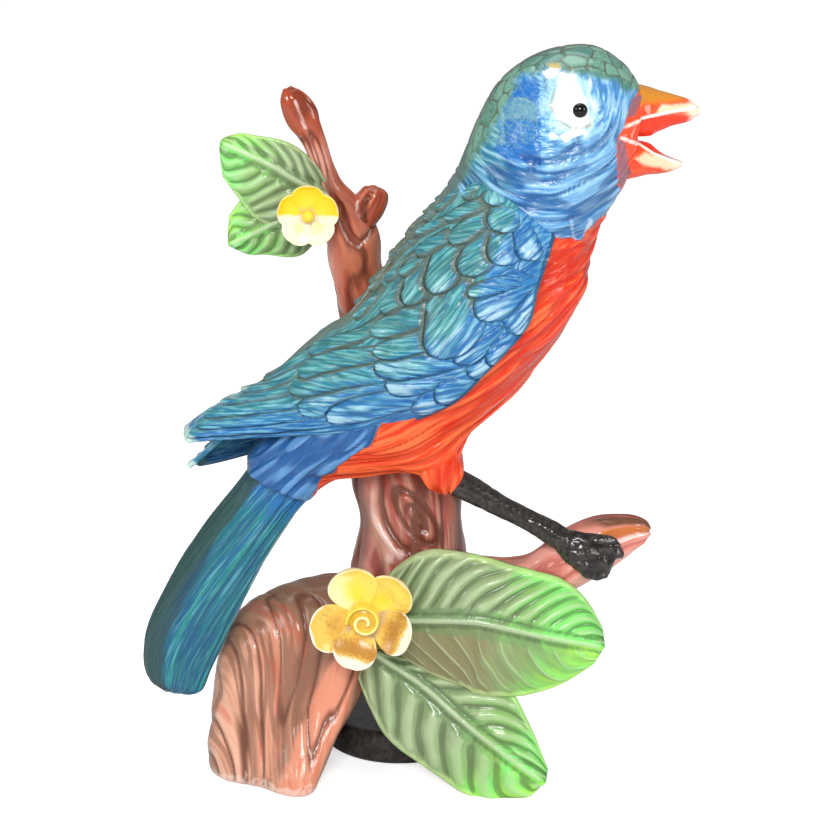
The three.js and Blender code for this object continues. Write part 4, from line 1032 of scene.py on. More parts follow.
# Columns of points over a wing's outer face, and over its lining against the flank
columns, lining = 190, 26
for side, node in ((-1, "near_wing"), (1, "far_wing")):
    s, step = np.meshgrid(np.linspace(0, 1, 430), np.arange(columns + lining), indexing="ij")
    outside = step < columns
    v = np.where(outside, step / (columns - 1), 1 - (step - columns + 0.5) / lining)
    along, across = unrolled(s, v)
    height, edge, back, beside = shingled(along, across, feathers)
    fine_ridge, fine_crease = tooled(strokes(beside, back, 1.25, 8), 61)
    covered = clamped(edge / 0.5)
    shoulder = masked(0.47 - s - 0.1 * v, 0.05)
    fade = clamped(s / 0.05)
    relief = height - 0.25 + covered * (0.26 * (fine_ridge - 0.5) - 0.2 * fine_crease)
    relief -= 0.35 * np.exp(-((edge / 0.5) ** 2))
    lip = clamped((1 - v) / 0.04) ** 0.5
    lift = np.where(outside, relief * fade * lip, -wing_thickness * (1 - 0.55 * s))
    rings = wing_point(side, s, v, lift)
    lower = clamped((v - 0.42) / 0.4)
    blue = clamped(0.75 * lower + 0.35 * masked(s - 0.62, 0.12) + 0.25 * (1 - covered))
    blue = blue * (1 - 0.5 * shoulder * (v < 0.7)) + 0.35 * shoulder * masked(v - 0.8, 0.1)
    fixed(shell(f"{node}_glazed", rings, {
        "blue": blue, "feather_rim": covered * ridged(edge - 0.8, 0.7) * (0.45 + 0.55 * lower),
        "gleam": covered * clamped(height - 0.72) * 1.7 * fine_ridge * (0.45 + 0.55 * lower),
        "crease": covered * fine_crease * (1 - blue), "blue_crease": covered * fine_crease * blue,
        "ground": (
            ridged(edge, 0.75 + 0.35 * shoulder) * (1 - 0.75 * blue) * fade * outside
            + 0.42 * (edge < -1.4) * (1 - blue)
        ),
        "deep_edge": clamped(1 - np.abs(edge) / 0.5) * blue,
        "back": clamped(1.1 - v / 0.19) * (s < 0.75) * clamped(1.2 - 0.5 * covered),
        "pale_tip": (
            0.5 * (side < 0) * masked(0.16 - v, 0.08) * masked(s - 0.72, 0.04) * masked(0.95 - s, 0.04)
            + masked(s - 0.975, 0.015)
        ),
        # The edge_line mask is painted shade along the lower edge, where the blade turns under
        "edge_line": masked(v - 0.975, 0.012), "across": beside, "along": back,
    }), teal_glaze, "teal_glaze", node)

# Tail: a pressed blade luted under the rump, with long feathers combed down it. A dark grey-green
# band runs down its upper edge, and the comb has left long pale hairs.

tail_thickness = 11.0
# The last value of a tail station is the half-depth, as a share of the tail's
tail_stations = [[*row[:4], row[4] * tail_thickness / 2] for row in [
    [-37.5, 85.5, -22, 77.5, 1], [-41, 80.5, -26.2, 72.4, 0.98], [-47.8, 72, -32.1, 63.3, 0.93],
    [-54.3, 62.8, -37.1, 54.3, 0.85], [-59.8, 53.3, -42.1, 44.3, 0.76], [-64.2, 45, -45.4, 37, 0.67],
    [-66.2, 36.8, -48.5, 30.6, 0.6], [-65.4, 28.8, -51, 24.8, 0.48], [-61, 24.6, -54.4, 23.4, 0.22],
]]
t, angle = lattice(380, 220)
rings = side_rings(tail_stations, t, angle)
tail_run, tail_radius = 75, 7
turn = folded(angle)
girth, along = turn * tail_radius, t * tail_run
drift = girth + 6 + 0.8 * lumps(rings / 22, 73) + 0.03 * along
slanted = drift + 0.06 * along
vane, vane_crease = tooled(strokes(drift, along, 1.9, 60), 71)
hair, hair_crease = tooled(strokes(slanted, along, 0.75, 16), 72)
rings = raised(rings, 0.26 * (vane - 0.5) - 0.16 * vane_crease + 0.16 * (hair - 0.5) - 0.08 * hair_crease)
tail = shell("tail_glazed", rings, {
    "across": slanted, "along": along,
    "band": masked(1.02 + 0.25 * t - turn + 0.08 * lumps(rings / 5, 74), 0.14),
    "groove": vane_crease * clamped(turn - 0.3), "root": masked(0.13 - t, 0.09),
    # The rim mask is a painted highlight: pale specks round the end of the tail
    "end": masked(t - 0.9, 0.07), "rim": masked(t - 0.985, 0.01),
    # Painted highlight: a thin pale blue line down the upper part of the tail's lower edge
    "lower": masked(turn - 2.75, 0.25) * masked(0.55 - t, 0.2),
})
tail_glaze = glaze("tail_glaze", "#1f7480", [
    ("#1c568e", 0.5, 0.8, 14, 1.8, 0.2, 0.75),
    ("#2a8f80", 0.46, 0.7, 18, 1.8, 0.15, 0.7),
    ("#2066a8", "root", 1.6, 12, 0.9, 0.35, 0.92),
    ("#1a4f7c", "end", 1.6, 8, 1.0, 0.35, 0.7),
    ("#78c0cc", 0.3, 0.45, 12, 2.6, 0.15, 0.45),
    ("#174a70", 0.32, 0.5, 14, -2.4, 0.2, 0.5),
    ("#2f4744", "band", 1.0, 24, 0.8, 0.3, 0.92),
    ("#18496c", "groove", 0.8, 20, 0.6, 0.35, 0.55),
    # Painted highlight: a thin pale blue line down the upper part of the tail's lower edge
    ("#b4dce6", "lower", 0.5, 12, 1.7, 0.12, 0.4),
    # Painted highlight: pale specks round the end of the tail
    ("#9aacb0", "rim", 0.6, 0.6, 1.4, 0.2, 0.7),
], gloss=0.12, waves=0.06, tooling=0.26, comb=(0.5, 14), flows=True)
fixed(tail, tail_glaze, "tail_glaze", "tail")

# Bill: two mandibles pressed by hand and luted into the face, with a web of clay in the gape. They
# are red-orange, brown on top, and pale at the tips and along the cutting edges.

bills = {
    "upper_bill": dict(
        stations=[
            [51, 179.8, 50, 168, 6.5], [57, 180.6, 57, 167.6, 6.4], [60, 180, 60.7, 167.7, 5.4],
            [62.6, 179.2, 62.5, 168.7, 4.8], [66, 178.3, 66, 170.1, 3.6], [69.7, 177, 69.7, 171.7, 2.4],
            [72.3, 175.1, 72.3, 173.4, 1.1],
        ],
        edge_line=upper_edge_line, web=-1,
        blush=[(62.6, 176.2), (68.1, 176.2), (72.4, 176), (72.4, 173.5), (67, 173.6), (61, 173.6)],
    ),
    "lower_bill": dict(
        stations=[
            [48, 168, 48, 158.2, 6], [54, 168.1, 54, 157.7, 6], [58, 167.8, 57.6, 158.3, 5.2],
            [60.9, 167.1, 60.2, 158.9, 4.5], [63, 165.5, 63, 159.2, 3.7], [65.8, 163.6, 66, 159.8, 2.6],
            [68.6, 162.1, 68.5, 160.9, 0.9],
        ],
        edge_line=lower_edge_line, web=1,
        blush=[
            (56.6, 163.6), (59.1, 164.8), (62.5, 164), (68.4, 162.4), (68.4, 160.6), (65, 160.3),
            (62.1, 161.3), (58.6, 162.0),
        ],
    ),
}
bill_glaze = glaze("bill_glaze", "#f2492a", [
    ("#fb6a3a", 0.48, 1.6, 4, 1.2, 0.2, 0.6),
    ("#c9862c", "culmen", 1.4, 6, 0.4, 0.35, 0.95),
    ("#fbd9b4", "blush", 1.4, 3, 0.7, 0.3, 0.9),
    ("#f2dfca", "tip", 1.2, 1.2, 0.5, 0.35, 0.95),
    ("#e8341c", "web", 1.4, 2, 0.4, 0.25, 0.8),
    ("#fbf0e4", "tomium", 0.6, 2, 0.5, 0.25, 0.92),
    ("#8d6676", "root", 1.2, 1.8, 0.6, 0.25, 0.9),
], gloss=0.05, waves=0.14)
for node, sizes in bills.items():
    t, angle = lattice(120, 96)
    rings = side_rings(sizes["stations"], t, angle)
    x, z = rings[..., 0], rings[..., 2]
    line_x, line_z = np.array(sizes["edge_line"]).T
    beyond = (z - np.interp(x, line_x, line_z)) * sizes["web"]
    web = masked(beyond - 0.4, 0.4)
    bead = ridged(off_line(x, z, sizes["edge_line"]), 0.5) * masked(x - 52, 1)
    rings = raised(rings, 0.08 * lumps(rings / 3, 81) + 0.3 * bead - 0.6 * web * clamped((70 - x) / 4))
    end = sizes["stations"][-1][0]
    upper = node == "upper_bill"
    fixed(shell(f"{node}_glazed", rings, {
        "culmen": masked(z - 176.6 - 0.05 * (x - 60), 1.3) * masked(70.5 - x, 2.5) * upper,
        "tip": masked(x - end + 2.4, 1.6), "web": web * masked(end - 3 - x, 2), "tomium": bead,
        "blush": masked(inside(x, z, sizes["blush"]), 0.9), "root": mottled(x, z),
    }), bill_glaze, "bill_glaze", node)

# Eyes: each is a drop of black enamel on the cheek, domed by its own surface tension.
# The kiln leaves it glossy, with a ring of the white patch round it.


def ball(centre, half_size, rows, around, gap=0.01):
    """Rings of a ball or a flattened ball about the Y axis, with a small gap at each end."""
    t, angle = lattice(rows, around, gap, 1 - gap)
    over = math.pi * t
    ring = np.stack([np.sin(over) * np.cos(angle), np.cos(over), np.sin(over) * np.sin(angle)], -1)
    return centre + half_size * ring


eye_radius = 1.75
eye_dome = 0.8
eye_depth = 0.72
eye_setback = 1.0
eye_glaze = glaze("eye_glaze", "#0c0c0e", [("#3a3a40", 0.3, 0.8, 0.8, 1.2, 0.05, 0.6)], gloss=0.0, waves=0.05)
for side, node in ((-1, "near_eye"), (1, "far_eye")):
    low, high = (in_side_view(corner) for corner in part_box(node))
    front = low[1] if side < 0 else high[1]
    middle = (low + high) / 2
    centre = np.array([middle[0] - eye_setback, front - side * eye_radius * eye_depth, middle[2]])
    rings = ball(centre, eye_radius * np.array([1, eye_dome, 1]), 40, 64, 0.012)
    fixed(shell(f"{node}_glazed", rings), eye_glaze, "eye_glaze", node)

# Legs: a leg is rolled from black clay, with its sole and toes pressed over the perch in one broad
# fan. A row of small pellets down the shank stands for its scales.

leg_radius = 2.7
toe_radius = 1.9
near_leg_side = 8.0
leg_spacing = 13.0
hip_height = 85.5
leg_spacing_drop = 3.7
ankle_x = 39.0
ankle_fall = 15.0
pellet_count = 19
pellet_radius = 0.75


def glazed_copies(tree, material, instances):
    """Sets copies of a mesh at points, makes them real and smooth, and gives them their glaze."""
    placed = added(tree, "GeometryNodeInstanceOnPoints", instances)
    real = added(tree, "GeometryNodeRealizeInstances", {0: placed.outputs[0]})
    smooth = added(tree, "GeometryNodeSetShadeSmooth", {0: real.outputs[0]})
    coated = added(tree, "GeometryNodeSetMaterial", {"Geometry": smooth.outputs[0], "Material": material})
    return coated.outputs[0]


# Pellets of clay set along a path: a count, a radius and a seed for their uneven sizes
pellet_row, taken, given = node_group(
    "pellet_row", "GeometryNodeTree",
    {"Path": "Geometry", "Count": "Int", "Radius": "Float", "Seed": "Int", "Glaze": "Material"},
    {"Geometry": "Geometry"},
)
curve = added(pellet_row, "GeometryNodeMeshToCurve", {"Mesh": taken["Path"]})
spaced = added(pellet_row, "GeometryNodeResampleCurve", {"Curve": curve.outputs[0], "Count": taken["Count"]})
pellet = added(pellet_row, "GeometryNodeMeshIcoSphere", {"Radius": taken["Radius"], "Subdivisions": 3})
uneven = added(
    pellet_row, "FunctionNodeRandomValue",
    {0: (0.75, 0.6, 0.55), 1: (1.25, 1.0, 0.95), "Seed": taken["Seed"]}, data_type="FLOAT_VECTOR",
)
wired(given, {"Geometry": glazed_copies(pellet_row, taken["Glaze"], {
    "Points": spaced.outputs[0], "Instance": pellet.outputs[0], "Scale": uneven.outputs[0],
})})


def grown(piece, tree, values):
    """Runs a Geometry Nodes tree on a piece and keeps the result as its plain mesh."""
    modifier = piece.modifiers.new("grown", "NODES")
    modifier.node_group = tree
    for socket in tree.interface.items_tree:
        if socket.name in values:
            modifier[socket.identifier] = values[socket.name]
    settled(piece)


for side, name in ((-1, "near_leg"), (1, "far_leg")):
    y = -near_leg_side if side < 0 else leg_spacing - near_leg_side
    hip = hip_height if side < 0 else hip_height - leg_spacing_drop
    ankle = hip - ankle_fall
    shank = [
        [10, y + 1, hip, leg_radius * 1.35], [18, y + 0.5, hip - 3.9, leg_radius * 1.25],
        [25.5, y, hip - 8.1, leg_radius * 1.03], [33, y - 0.8, hip - 11.8, leg_radius],
        [ankle_x, y - 2, ankle, leg_radius * 1.15], [ankle_x + 4, y - 3, ankle - 2.5, leg_radius * 0.9],
    ]
    sole = [
        [ankle_x - 0.5, y - 2.4, ankle - 0.1, toe_radius, toe_radius],
        [ankle_x + 4, y - 3.4, ankle - 2.4, toe_radius * 2.2, toe_radius * 0.9],
        [ankle_x + 8.5, y - 4.2, ankle - 4.3, toe_radius * 3.0, toe_radius * 0.85],
        [ankle_x + 12.2, y - 4.2, ankle - 5.4, toe_radius * 3.3, toe_radius * 0.65],
        [ankle_x + 14.8, y - 3.8, ankle - 6.3, toe_radius * 2.6, toe_radius * 0.35],
    ]
    parts = [(shank, 90, 48), (sole, 40, 64)]
    for reach_x, reach_y, fall in ((15, 3.6, 3.9), (12, 4.6, 6.7), (8.3, 4.6, 8.7)):
        parts.append(([
            [ankle_x, y - 2.5, ankle - 0.1, toe_radius],
            [ankle_x + reach_x / 2, y - 1.7 - reach_y / 2, ankle + 0.85 - fall / 2, toe_radius * 1.15],
            [ankle_x + reach_x, y - reach_y, ankle - fall, toe_radius * 0.95],
            [ankle_x + reach_x + 1.1, y - reach_y + 0.8, ankle - fall - 1.7, toe_radius * 0.3],
        ], 40, 32))
    skins = [shell(f"{name}_skin_{number}", limb(*part)) for number, part in enumerate(parts)]
    leg, points, normals = remeshed(skins, 0.3, 16)
    leg.name = f"{name}_glazed"
    on_foot = masked(points[:, 0] - ankle_x - 1, 2)
    pitted = lumps(points / [1.6, 1.0, 1.0], 91)
    points = points + normals * ((0.06 + 0.14 * on_foot) * pitted + 0.06 * lumps(points / 0.7, 92))[:, None]
    reshaped(leg, points, {
        "groove": clamped(-pitted * 1.4) * on_foot,
        # Pale glints on the raised specks of the foot are painted highlights
        "painted_glint": clamped(pitted * 1.1 - 0.25) * on_foot,
    })
    fixed(leg, black_glaze, "black_glaze", name)

    path = through([
        [18.5, y - 2.1, hip - 2.2], [25.5, y - 2.2, hip - 6.6], [33, y - 3, hip - 10.4],
        [ankle_x, y - 4.6, ankle + 0.9], [ankle_x + 5, y - 5.4, ankle - 2.4],
    ], np.linspace(0, 1, 40))
    path_mesh = bpy.data.meshes.new(f"{name}_scale_path")
    links = [(step, step + 1) for step in range(len(path) - 1)]
    path_mesh.from_pydata(in_metres(path).tolist(), links, [])
    pellets = in_scene(f"{name}_scales", path_mesh)
    grown(pellets, pellet_row, {
        "Count": pellet_count, "Radius": pellet_radius / 1000, "Seed": 4 + side, "Glaze": black_glaze,
    })
    fixed(pellets, black_glaze, "black_glaze")

# Leaves: pressed from thin sheets with ribbed sides and a raised midrib, and luted to the trunk and
# the twig. They are washed grey-green at the root and bright green at the tip.


def blade_ring(front, back):
    """Places round a blade's edge: -1 to 1 over the front, then back along the rear."""
    over = np.linspace(-1, 1, front)
    over = 0.75 * over + 0.25 * np.sin(over * math.pi / 2)
    under = np.linspace(1, -1, back + 2)[1:-1]
    return np.concatenate([over, under]), np.concatenate([np.ones(front), np.zeros(back)])


def evenly(stations, u):
    """The curve through a list of points, read at even shares of its real length."""
    fine = np.linspace(0, 1, 600)
    line = through(stations, fine)
    run = np.concatenate([[0], np.cumsum(np.linalg.norm(np.diff(line, axis=0), axis=1))])
    return through(stations, np.interp(u, run / run[-1], fine)), run[-1]


def widths_along(widths, u):
    """A half's width at shares u of the midrib."""
    share = np.linspace(0, 1, 200)
    return np.interp(u, share, through([[width] for width in widths], share)[:, 0])


def leaf(midrib, upper_widths, lower_widths, ribs, slants, pleats, beads, sag, rows=330, tip=0.02):
    """Rings and paint masks of one pressed leaf: u runs from its root to its tip, and a across it.
    Ribs, slants, pleats and beads are for the upper and the lower half: how many side ribs, how
    they lean, and how deep they are pleated or beaded."""
    places, front = blade_ring(120, 40)
    u, a = np.meshgrid(np.linspace(0, 1, rows), places, indexing="ij")
    front = front[None, :] + 0 * u
    line, run = evenly(midrib, u)
    step = evenly(midrib, clamped(u + 0.01))[0] - evenly(midrib, clamped(u - 0.01))[0]
    step[..., 1] = 0
    step /= np.linalg.norm(step, axis=-1, keepdims=True)
    side = np.stack([-step[..., 2], 0 * u, step[..., 0]], -1)
    above = a > 0
    close = np.minimum(1, np.sqrt(clamped((1 - u) / tip)))
    close = close * np.minimum(1, np.sqrt(np.clip(u / 0.02, 0.02, 1)))
    width = np.where(above, widths_along(upper_widths, u), widths_along(lower_widths, u)) * close
    edge = np.abs(a)
    bend = edge * (0.5 + 0.5 * edge)
    wander = 0.14 * lumps(strokes(u * 60, a * 20, 11, 8), 95) + 0.12 * lumps(strokes(u * 60, a * 9, 4, 9), 98)
    count, slant, pleat, bead = (np.where(above, *pair) for pair in (ribs, slants, pleats, beads))
    phase = count * (u - slant * bend) + np.where(above, 0.0, 0.35) + wander
    reach = clamped((0.97 - edge) / 0.15) * clamped((edge - 0.13) / 0.12)
    wave = 0.5 + 0.5 * np.cos(2 * math.pi * phase)
    rib = wave ** 1.6 * reach
    valley = (1 - wave) ** 4 * reach
    vein = ridged(np.abs(phase - np.round(phase)) * run / count, 0.45) * reach
    off_middle = edge * np.maximum(width, 1)
    mid = ridged(off_middle, 0.75) * clamped((1 - u) / 0.06)
    channel = ridged(off_middle - 1.7, 0.7)
    relief = pleat * (rib - 0.5 * valley) + bead * vein + 0.5 * mid - 0.4 * channel
    relief = relief + 0.2 * lumps(strokes(u * run + 20, a * 14, 5, 4), 96) * (1 - mid)
    relief = relief + 0.35 * ridged(edge - 0.97, 0.05)
    thick = 2.2 * np.sqrt(clamped(1 - edge ** 4)) * np.sqrt(clamped((1 - u) / 0.03))
    point = line + side * (a * width)[..., None]
    face = 1.1 - 0.5 * thick - relief * clamped((1 - edge) / 0.05)
    point[..., 1] += sag * edge * edge + np.where(front > 0, face, 1.1 + 0.5 * thick)
    point[..., 2] = np.maximum(point[..., 2], 0.05)
    return point, {
        "upper": masked(a, 0.03), "mid": mid * front, "rim": clamped((edge - 0.86) / 0.1), "u": u,
        # Paler green on the pleated ribs is a painted highlight; on the beaded veins it is pale paint
        "rib": clamped(np.maximum(rib * (pleat > 0.3), vein * (bead > 0.2))) * front,
        # Painted shade: darker green in the valleys between the ribs and in the channels beside the midrib
        "valley": clamped(valley * (pleat > 0.3) + 0.7 * channel) * front,
        "across": phase * 4, "along": edge * 12, "band": masked(0.2 - edge, 0.04) * front,
    }


leaf_glaze = glaze("leaf_glaze", "#82976a", [
    ("#9db088", 0.5, 2.4, 9, 1.6, 0.2, 0.6),
    ("#857a54", "olive", 2.0, 8, 1.3, 0.35, 0.85),
    ("#66885a", "band", 2, 12, 0.6, 0.35, 0.6),
    ("#80b45c", "green", 2.4, 8, 1.2, 0.35, 0.8),
    ("#80e470", "bright", 2.0, 7, 1.5, 0.35, 0.9),
    ("#aee84c", "lime", 1.8, 6, 1.2, 0.35, 0.85),
    # Painted shade: darker green in the valleys and beside the midrib
    ("#4a5c3c", "valley", 0.8, 5, 1.2, 0.3, 0.62),
    # Painted highlight on the pleated ribs, and pale paint on the beaded veins
    ("#bccfa4", "rib", 0.8, 5, 1.7, 0.22, 0.4),
    ("#cfdcb8", "mid", 0.8, 10, 0.8, 0.3, 0.5),
    ("#c8dca0", "rim", 1.0, 4, 1.4, 0.25, 0.4),
], gloss=0.12, waves=0.12, tooling=0.14, comb=(0.7, 5), flows=True)
leaves = {
    "lower_leaf_large": dict(
        midrib=[
            [-5, -7.5, 47.5], [2.5, -10.5, 48], [17.5, -14, 49], [25.5, -15, 48], [36, -15, 45.5],
            [52, -13, 41.7],
        ],
        upper_widths=[7, 14, 17.5, 17, 15.4, 15, 14.4, 10.2, 2.2],
        lower_widths=[6, 13, 17.5, 19.8, 20.8, 20.1, 17.6, 13.2, 5.5],
        ribs=(12, 9), slants=(0.25, 0.3), pleats=(0.85, 0.2), beads=(0, 0.4), sag=3.5,
    ),
    "lower_leaf_small": dict(
        midrib=[
            [-7, -4, 37], [5.5, -7, 29.3], [14, -10, 22.6], [20.5, -12, 17.5], [31.5, -13.5, 9.2],
            [37.6, -14.5, 5.2],
        ],
        upper_widths=[3, 6, 10, 13.8, 14.6, 13.7, 10.6, 6.8, 2.2],
        lower_widths=[8, 13.5, 17.2, 18, 17.2, 16.5, 16, 13.5, 5],
        ribs=(8, 7), slants=(0.36, 0.22), pleats=(0.6, 0.8), beads=(0, 0), sag=1.6,
    ),
    "upper_leaf_left": dict(
        midrib=[[-17, 14, 151.5], [-24.5, 10.5, 155.5], [-31.5, 9.5, 160], [-44, 11, 165.5]],
        upper_widths=[8.5, 13.4, 14, 10.6, 5.8], lower_widths=[4, 6, 6.7, 4.8, 2.8],
        ribs=(8, 7), slants=(0.3, 0.3), pleats=(0.5, 0.4), beads=(0, 0), sag=2, rows=240, tip=0.12,
    ),
    "upper_leaf_low": dict(
        midrib=[[-17, 15, 150], [-25, 13, 147.8], [-33, 12.4, 144], [-42.8, 13, 139.2]],
        upper_widths=[6, 9, 10.5, 6.6, 3.4], lower_widths=[5.2, 8.4, 10.6, 8.4, 4.4],
        ribs=(7, 7), slants=(0.3, 0.3), pleats=(0.45, 0.4), beads=(0, 0), sag=2, rows=240, tip=0.12,
    ),
}
for node, sizes in leaves.items():
    rings, masks = leaf(**sizes)
    u, upper = masks.pop("u"), masks.pop("upper")
    large, low = node == "lower_leaf_large", node.startswith("lower")
    if large:
        worn_edge = 0.45 * masks["rim"] * upper * (u < 0.8)
        masks["olive"] = clamped((0.95 - u) * (1 - upper) * 1.5 + worn_edge)
    else:
        masks["olive"] = 0.42 * clamped(1 - u * 2.2)
    masks["green"] = clamped((u - (0.38 if low else 0.3)) * 1.8 + 0.15 * upper)
    start = 0.6 - 0.18 * upper if large else (0.55 if low else 0.5)
    masks["bright"] = clamped((u - start) * 2.0 + 0.25 * masks["rim"] * (u > 0.3))
    masks["lime"] = clamped((u - 0.6) * 1.5) * (1 - upper) + 0.4 * masks["rim"] * (u > 0.4)
    slot = "leaf_glaze" if low else "bright_leaf_glaze"
    fixed(shell(f"{node}_glazed", rings, masks), leaf_glaze, slot, node)

# Lower blossom: a calyx, a bud rolled from a strip of clay, and five cupped petals pressed round
# it. The upper petals are yellow; the lower ones are ochre, with thick white rims.

petal_thickness = 1.7
petal_length = 14.0
petal_width = 12.5
bud_radius = 4.4
bud_turns = 1.6
blossom = np.array([-8.5, -13.5, 50.0])


def petal(centre, turn, base, length, width, tilt, cup, thickness, front=90, rows=110, curl=0.8):
    """Rings and masks of one cupped petal, rooted under the bud and opened by a tilt."""
    places, facing = blade_ring(front, front // 2)
    row, a = np.meshgrid(np.linspace(0, 1, rows), places, indexing="ij")
    facing = facing[None, :] + 0 * row
    u = np.sin(row * math.pi / 2)
    widest = 0.55
    narrow = 0.45 + 0.55 * np.sin(np.minimum(u / widest, 1) * math.pi / 2)
    rounded = np.sqrt(clamped(1 - ((u - widest) / (1.002 - widest)) ** 2))
    outline = np.where(u < widest, narrow, rounded)
    direction = np.array([math.cos(turn), 0, math.sin(turn)])
    side = np.array([-math.sin(turn), 0, math.cos(turn)])
    bend = tilt * u
    reach = base + (length - base) * u * np.cos(bend * 0.6)
    point = centre + direction * reach[..., None] + side * (a * outline * width / 2)[..., None]
    edge = np.maximum(np.abs(a) * (0.6 + 0.4 * u), clamped((u - 0.45) / 0.55) ** 1.5)
    thick = thickness * np.sqrt(clamped(1 - np.abs(a) ** 4)) * np.sqrt(clamped((1.0 - u) / 0.03))
    lip = curl * clamped((edge - 0.55) / 0.4) ** 1.5 * (thick / thickness) ** 0.5
    swell = 0.12 * lumps(point / 2.4, 97)
    point[..., 1] += (
        -length * u * np.sin(bend) * 0.7 - cup * a * a * outline - cup * 0.6 * u * u
        + thickness / 2 + np.where(facing > 0, -0.5 * thick - lip + swell, 0.5 * thick)
    )
    heart = clamped(1 - np.hypot(a / 0.75, (u - 0.4) / 0.42))
    return point, {"rim": clamped((edge - 0.72) / 0.2), "reach": u, "heart": heart, "side": a}


yellow_glaze = glaze("yellow_glaze", "#f2d45c", [
    ("#fbecb0", "cream", 2, 4, 0.8, 0.35, 0.9),
    ("#f8d02c", "heart", 2.5, 4, 0.7, 0.35, 0.75),
    ("#dca838", "gold", 1.5, 3, 0.7, 0.35, 0.75),
    ("#f8ecc4", "rim", 1.2, 2, 0.9, 0.3, 0.6),
    ("#b08c48", "toast", 0.5, 0.5, 1.4, 0.25, 0.45),
    ("#b8923c", "groove", 0.6, 2, 0.4, 0.3, 0.45),
], gloss=0.12, waves=0.1)
ochre_glaze = glaze("ochre_glaze", "#ecc55c", [
    ("#dca444", "heart", 1.6, 3, 0.8, 0.3, 0.75),
    ("#ac7434", "toast", 0.7, 0.9, 1.2, 0.45, 0.85),
    ("#fbf4e2", "rim", 0.8, 0.8, 0.8, 0.3, 0.97),
    ("#c4ae90", "root", 1.6, 2, 0.6, 0.3, 0.8),
    ("#7c5a30", 0.26, 0.35, 0.35, 1.3, 0.05, 0.35),
], gloss=0.14, waves=0.1)

lower_calyx = limb([[-8.5, 2, 49, 4.08], [-8.5, -11.5, 50, 3.4]], 40, 60)
fixed(shell("lower_calyx_glazed", lower_calyx), leaf_glaze, "leaf_glaze", "lower_calyx")

# A petal is its turn round the bud, size, tilt, setback, glaze, slot, and how far it browned
for name, turn, size, tilt, back, material, slot, browned in (
    ("lower_petal_top_left", 109, 1.0, 0.12, 0.0, yellow_glaze, "yellow_glaze", 0.1),
    ("lower_petal_top_right", 44, 1.0, 0.18, 0.2, yellow_glaze, "ochre_glaze", 0.5),
    ("lower_petal_right", -22, 0.92, 0.62, 0.0, ochre_glaze, "ochre_glaze", 0.85),
    ("lower_petal_bottom", -107, 0.9, 0.62, 0.2, ochre_glaze, "ochre_glaze", 1.0),
    ("lower_petal_left", -166, 1.0, 0.4, 0.1, ochre_glaze, "ochre_glaze", 0.3),
):
    centre = blossom + [0, back, 0]
    length, width = petal_length * size, petal_width * size
    rings, masks = petal(
        centre, math.radians(turn), bud_radius * 0.6, length, width, tilt, 1.6, petal_thickness,
    )
    reach, beside = masks.pop("reach"), masks.pop("side")
    masks["cream"] = clamped(0.35 + 0.8 * beside) * (browned < 0.2)
    masks["gold"] = clamped(reach * 0.9 - 0.3 * beside) * browned
    masks["toast"] = browned * clamped((reach - 0.2) * 3) * clamped((0.85 - reach) * 4)
    if browned > 0.6:
        masks["rim"] = clamped(masks["rim"] + clamped((reach - 0.68) * 5))
    masks["root"] = clamped((0.35 - reach) / 0.3) * (browned > 0.6)
    fixed(shell(f"{name}_glazed", rings, masks), material, slot, name)

cup_size = bud_radius * np.array([0.92, 0.57, 0.92])
cup = shell("bud_cup", ball(blossom + [0, -1.2, 0], cup_size, 40, 80))
u, angle = lattice(260, 28)
wound = u * bud_turns * 2 * math.pi - 0.5
squared_x = np.sign(np.cos(angle)) * np.abs(np.cos(angle)) ** 0.6
squared_y = np.sign(np.sin(angle)) * np.abs(np.sin(angle)) ** 0.6
radius = 0.9 + (bud_radius - 0.9) * u + 0.5 * squared_x
ribbon = shell("bud_ribbon", blossom + np.stack([
    radius * np.cos(wound), -3.3 + 1.2 * u + 2.1 * squared_y, radius * np.sin(wound),
], -1))
bud, points, normals = remeshed([cup, ribbon], 0.2, 5)
bud.name = "lower_bud_glazed"
sunk = clamped((points[:, 1] - blossom[1] + 4.6) / 1.2) * clamped(-normals[:, 1] * 2)
reshaped(bud, points, {
    "rim": 0.8 * clamped((-points[:, 1] - 17.6) / 0.8), "heart": np.full(len(points), 0.42),
    "groove": sunk, "gold": masked(points[:, 2] - blossom[2] - 2, 2) * 0.4,
})
fixed(bud, yellow_glaze, "yellow_glaze", "lower_bud")

# Upper blossom: a small one on the twig, with five alike petals pressed round a bead. It was dipped
# in gold down to a level line, and its lower half is cream.

upper_blossom = np.array([-22.2, 6.5, 147.8])
upper_petal_length = 7.8
upper_petal_width = 8.2
upper_petal_setback = 0.25
upper_bead_radius = 1.5
gold_line = 148.0

# Petals set round a centre: each is the same pressed blade, turned about the bead's axis
petal_ring, taken, given = node_group(
    "petal_ring", "GeometryNodeTree",
    {"Petal": "Geometry", "Count": "Int", "Centre": "Vector", "Setback": "Float", "Glaze": "Material"},
    {"Geometry": "Geometry"},
)
number = added(petal_ring, "GeometryNodeInputIndex").outputs[0]
turn = reckoned(petal_ring, "MULTIPLY", reckoned(petal_ring, "DIVIDE", number, taken["Count"]), -2 * math.pi)
about_axis = added(petal_ring, "ShaderNodeCombineXYZ", {1: turn})
behind = reckoned(petal_ring, "MULTIPLY", reckoned(petal_ring, "MODULO", number, 2.0), taken["Setback"])
set_back = added(petal_ring, "ShaderNodeCombineXYZ", {1: behind})
centred = added(
    petal_ring, "ShaderNodeVectorMath", {0: taken["Centre"], 1: set_back.outputs[0]}, operation="ADD",
)
rooted = added(petal_ring, "GeometryNodePoints", {"Count": taken["Count"], "Position": centred.outputs[0]})
wired(given, {"Geometry": glazed_copies(petal_ring, taken["Glaze"], {
    "Points": rooted.outputs[0], "Instance": taken["Petal"], "Rotation": about_axis.outputs[0],
})})

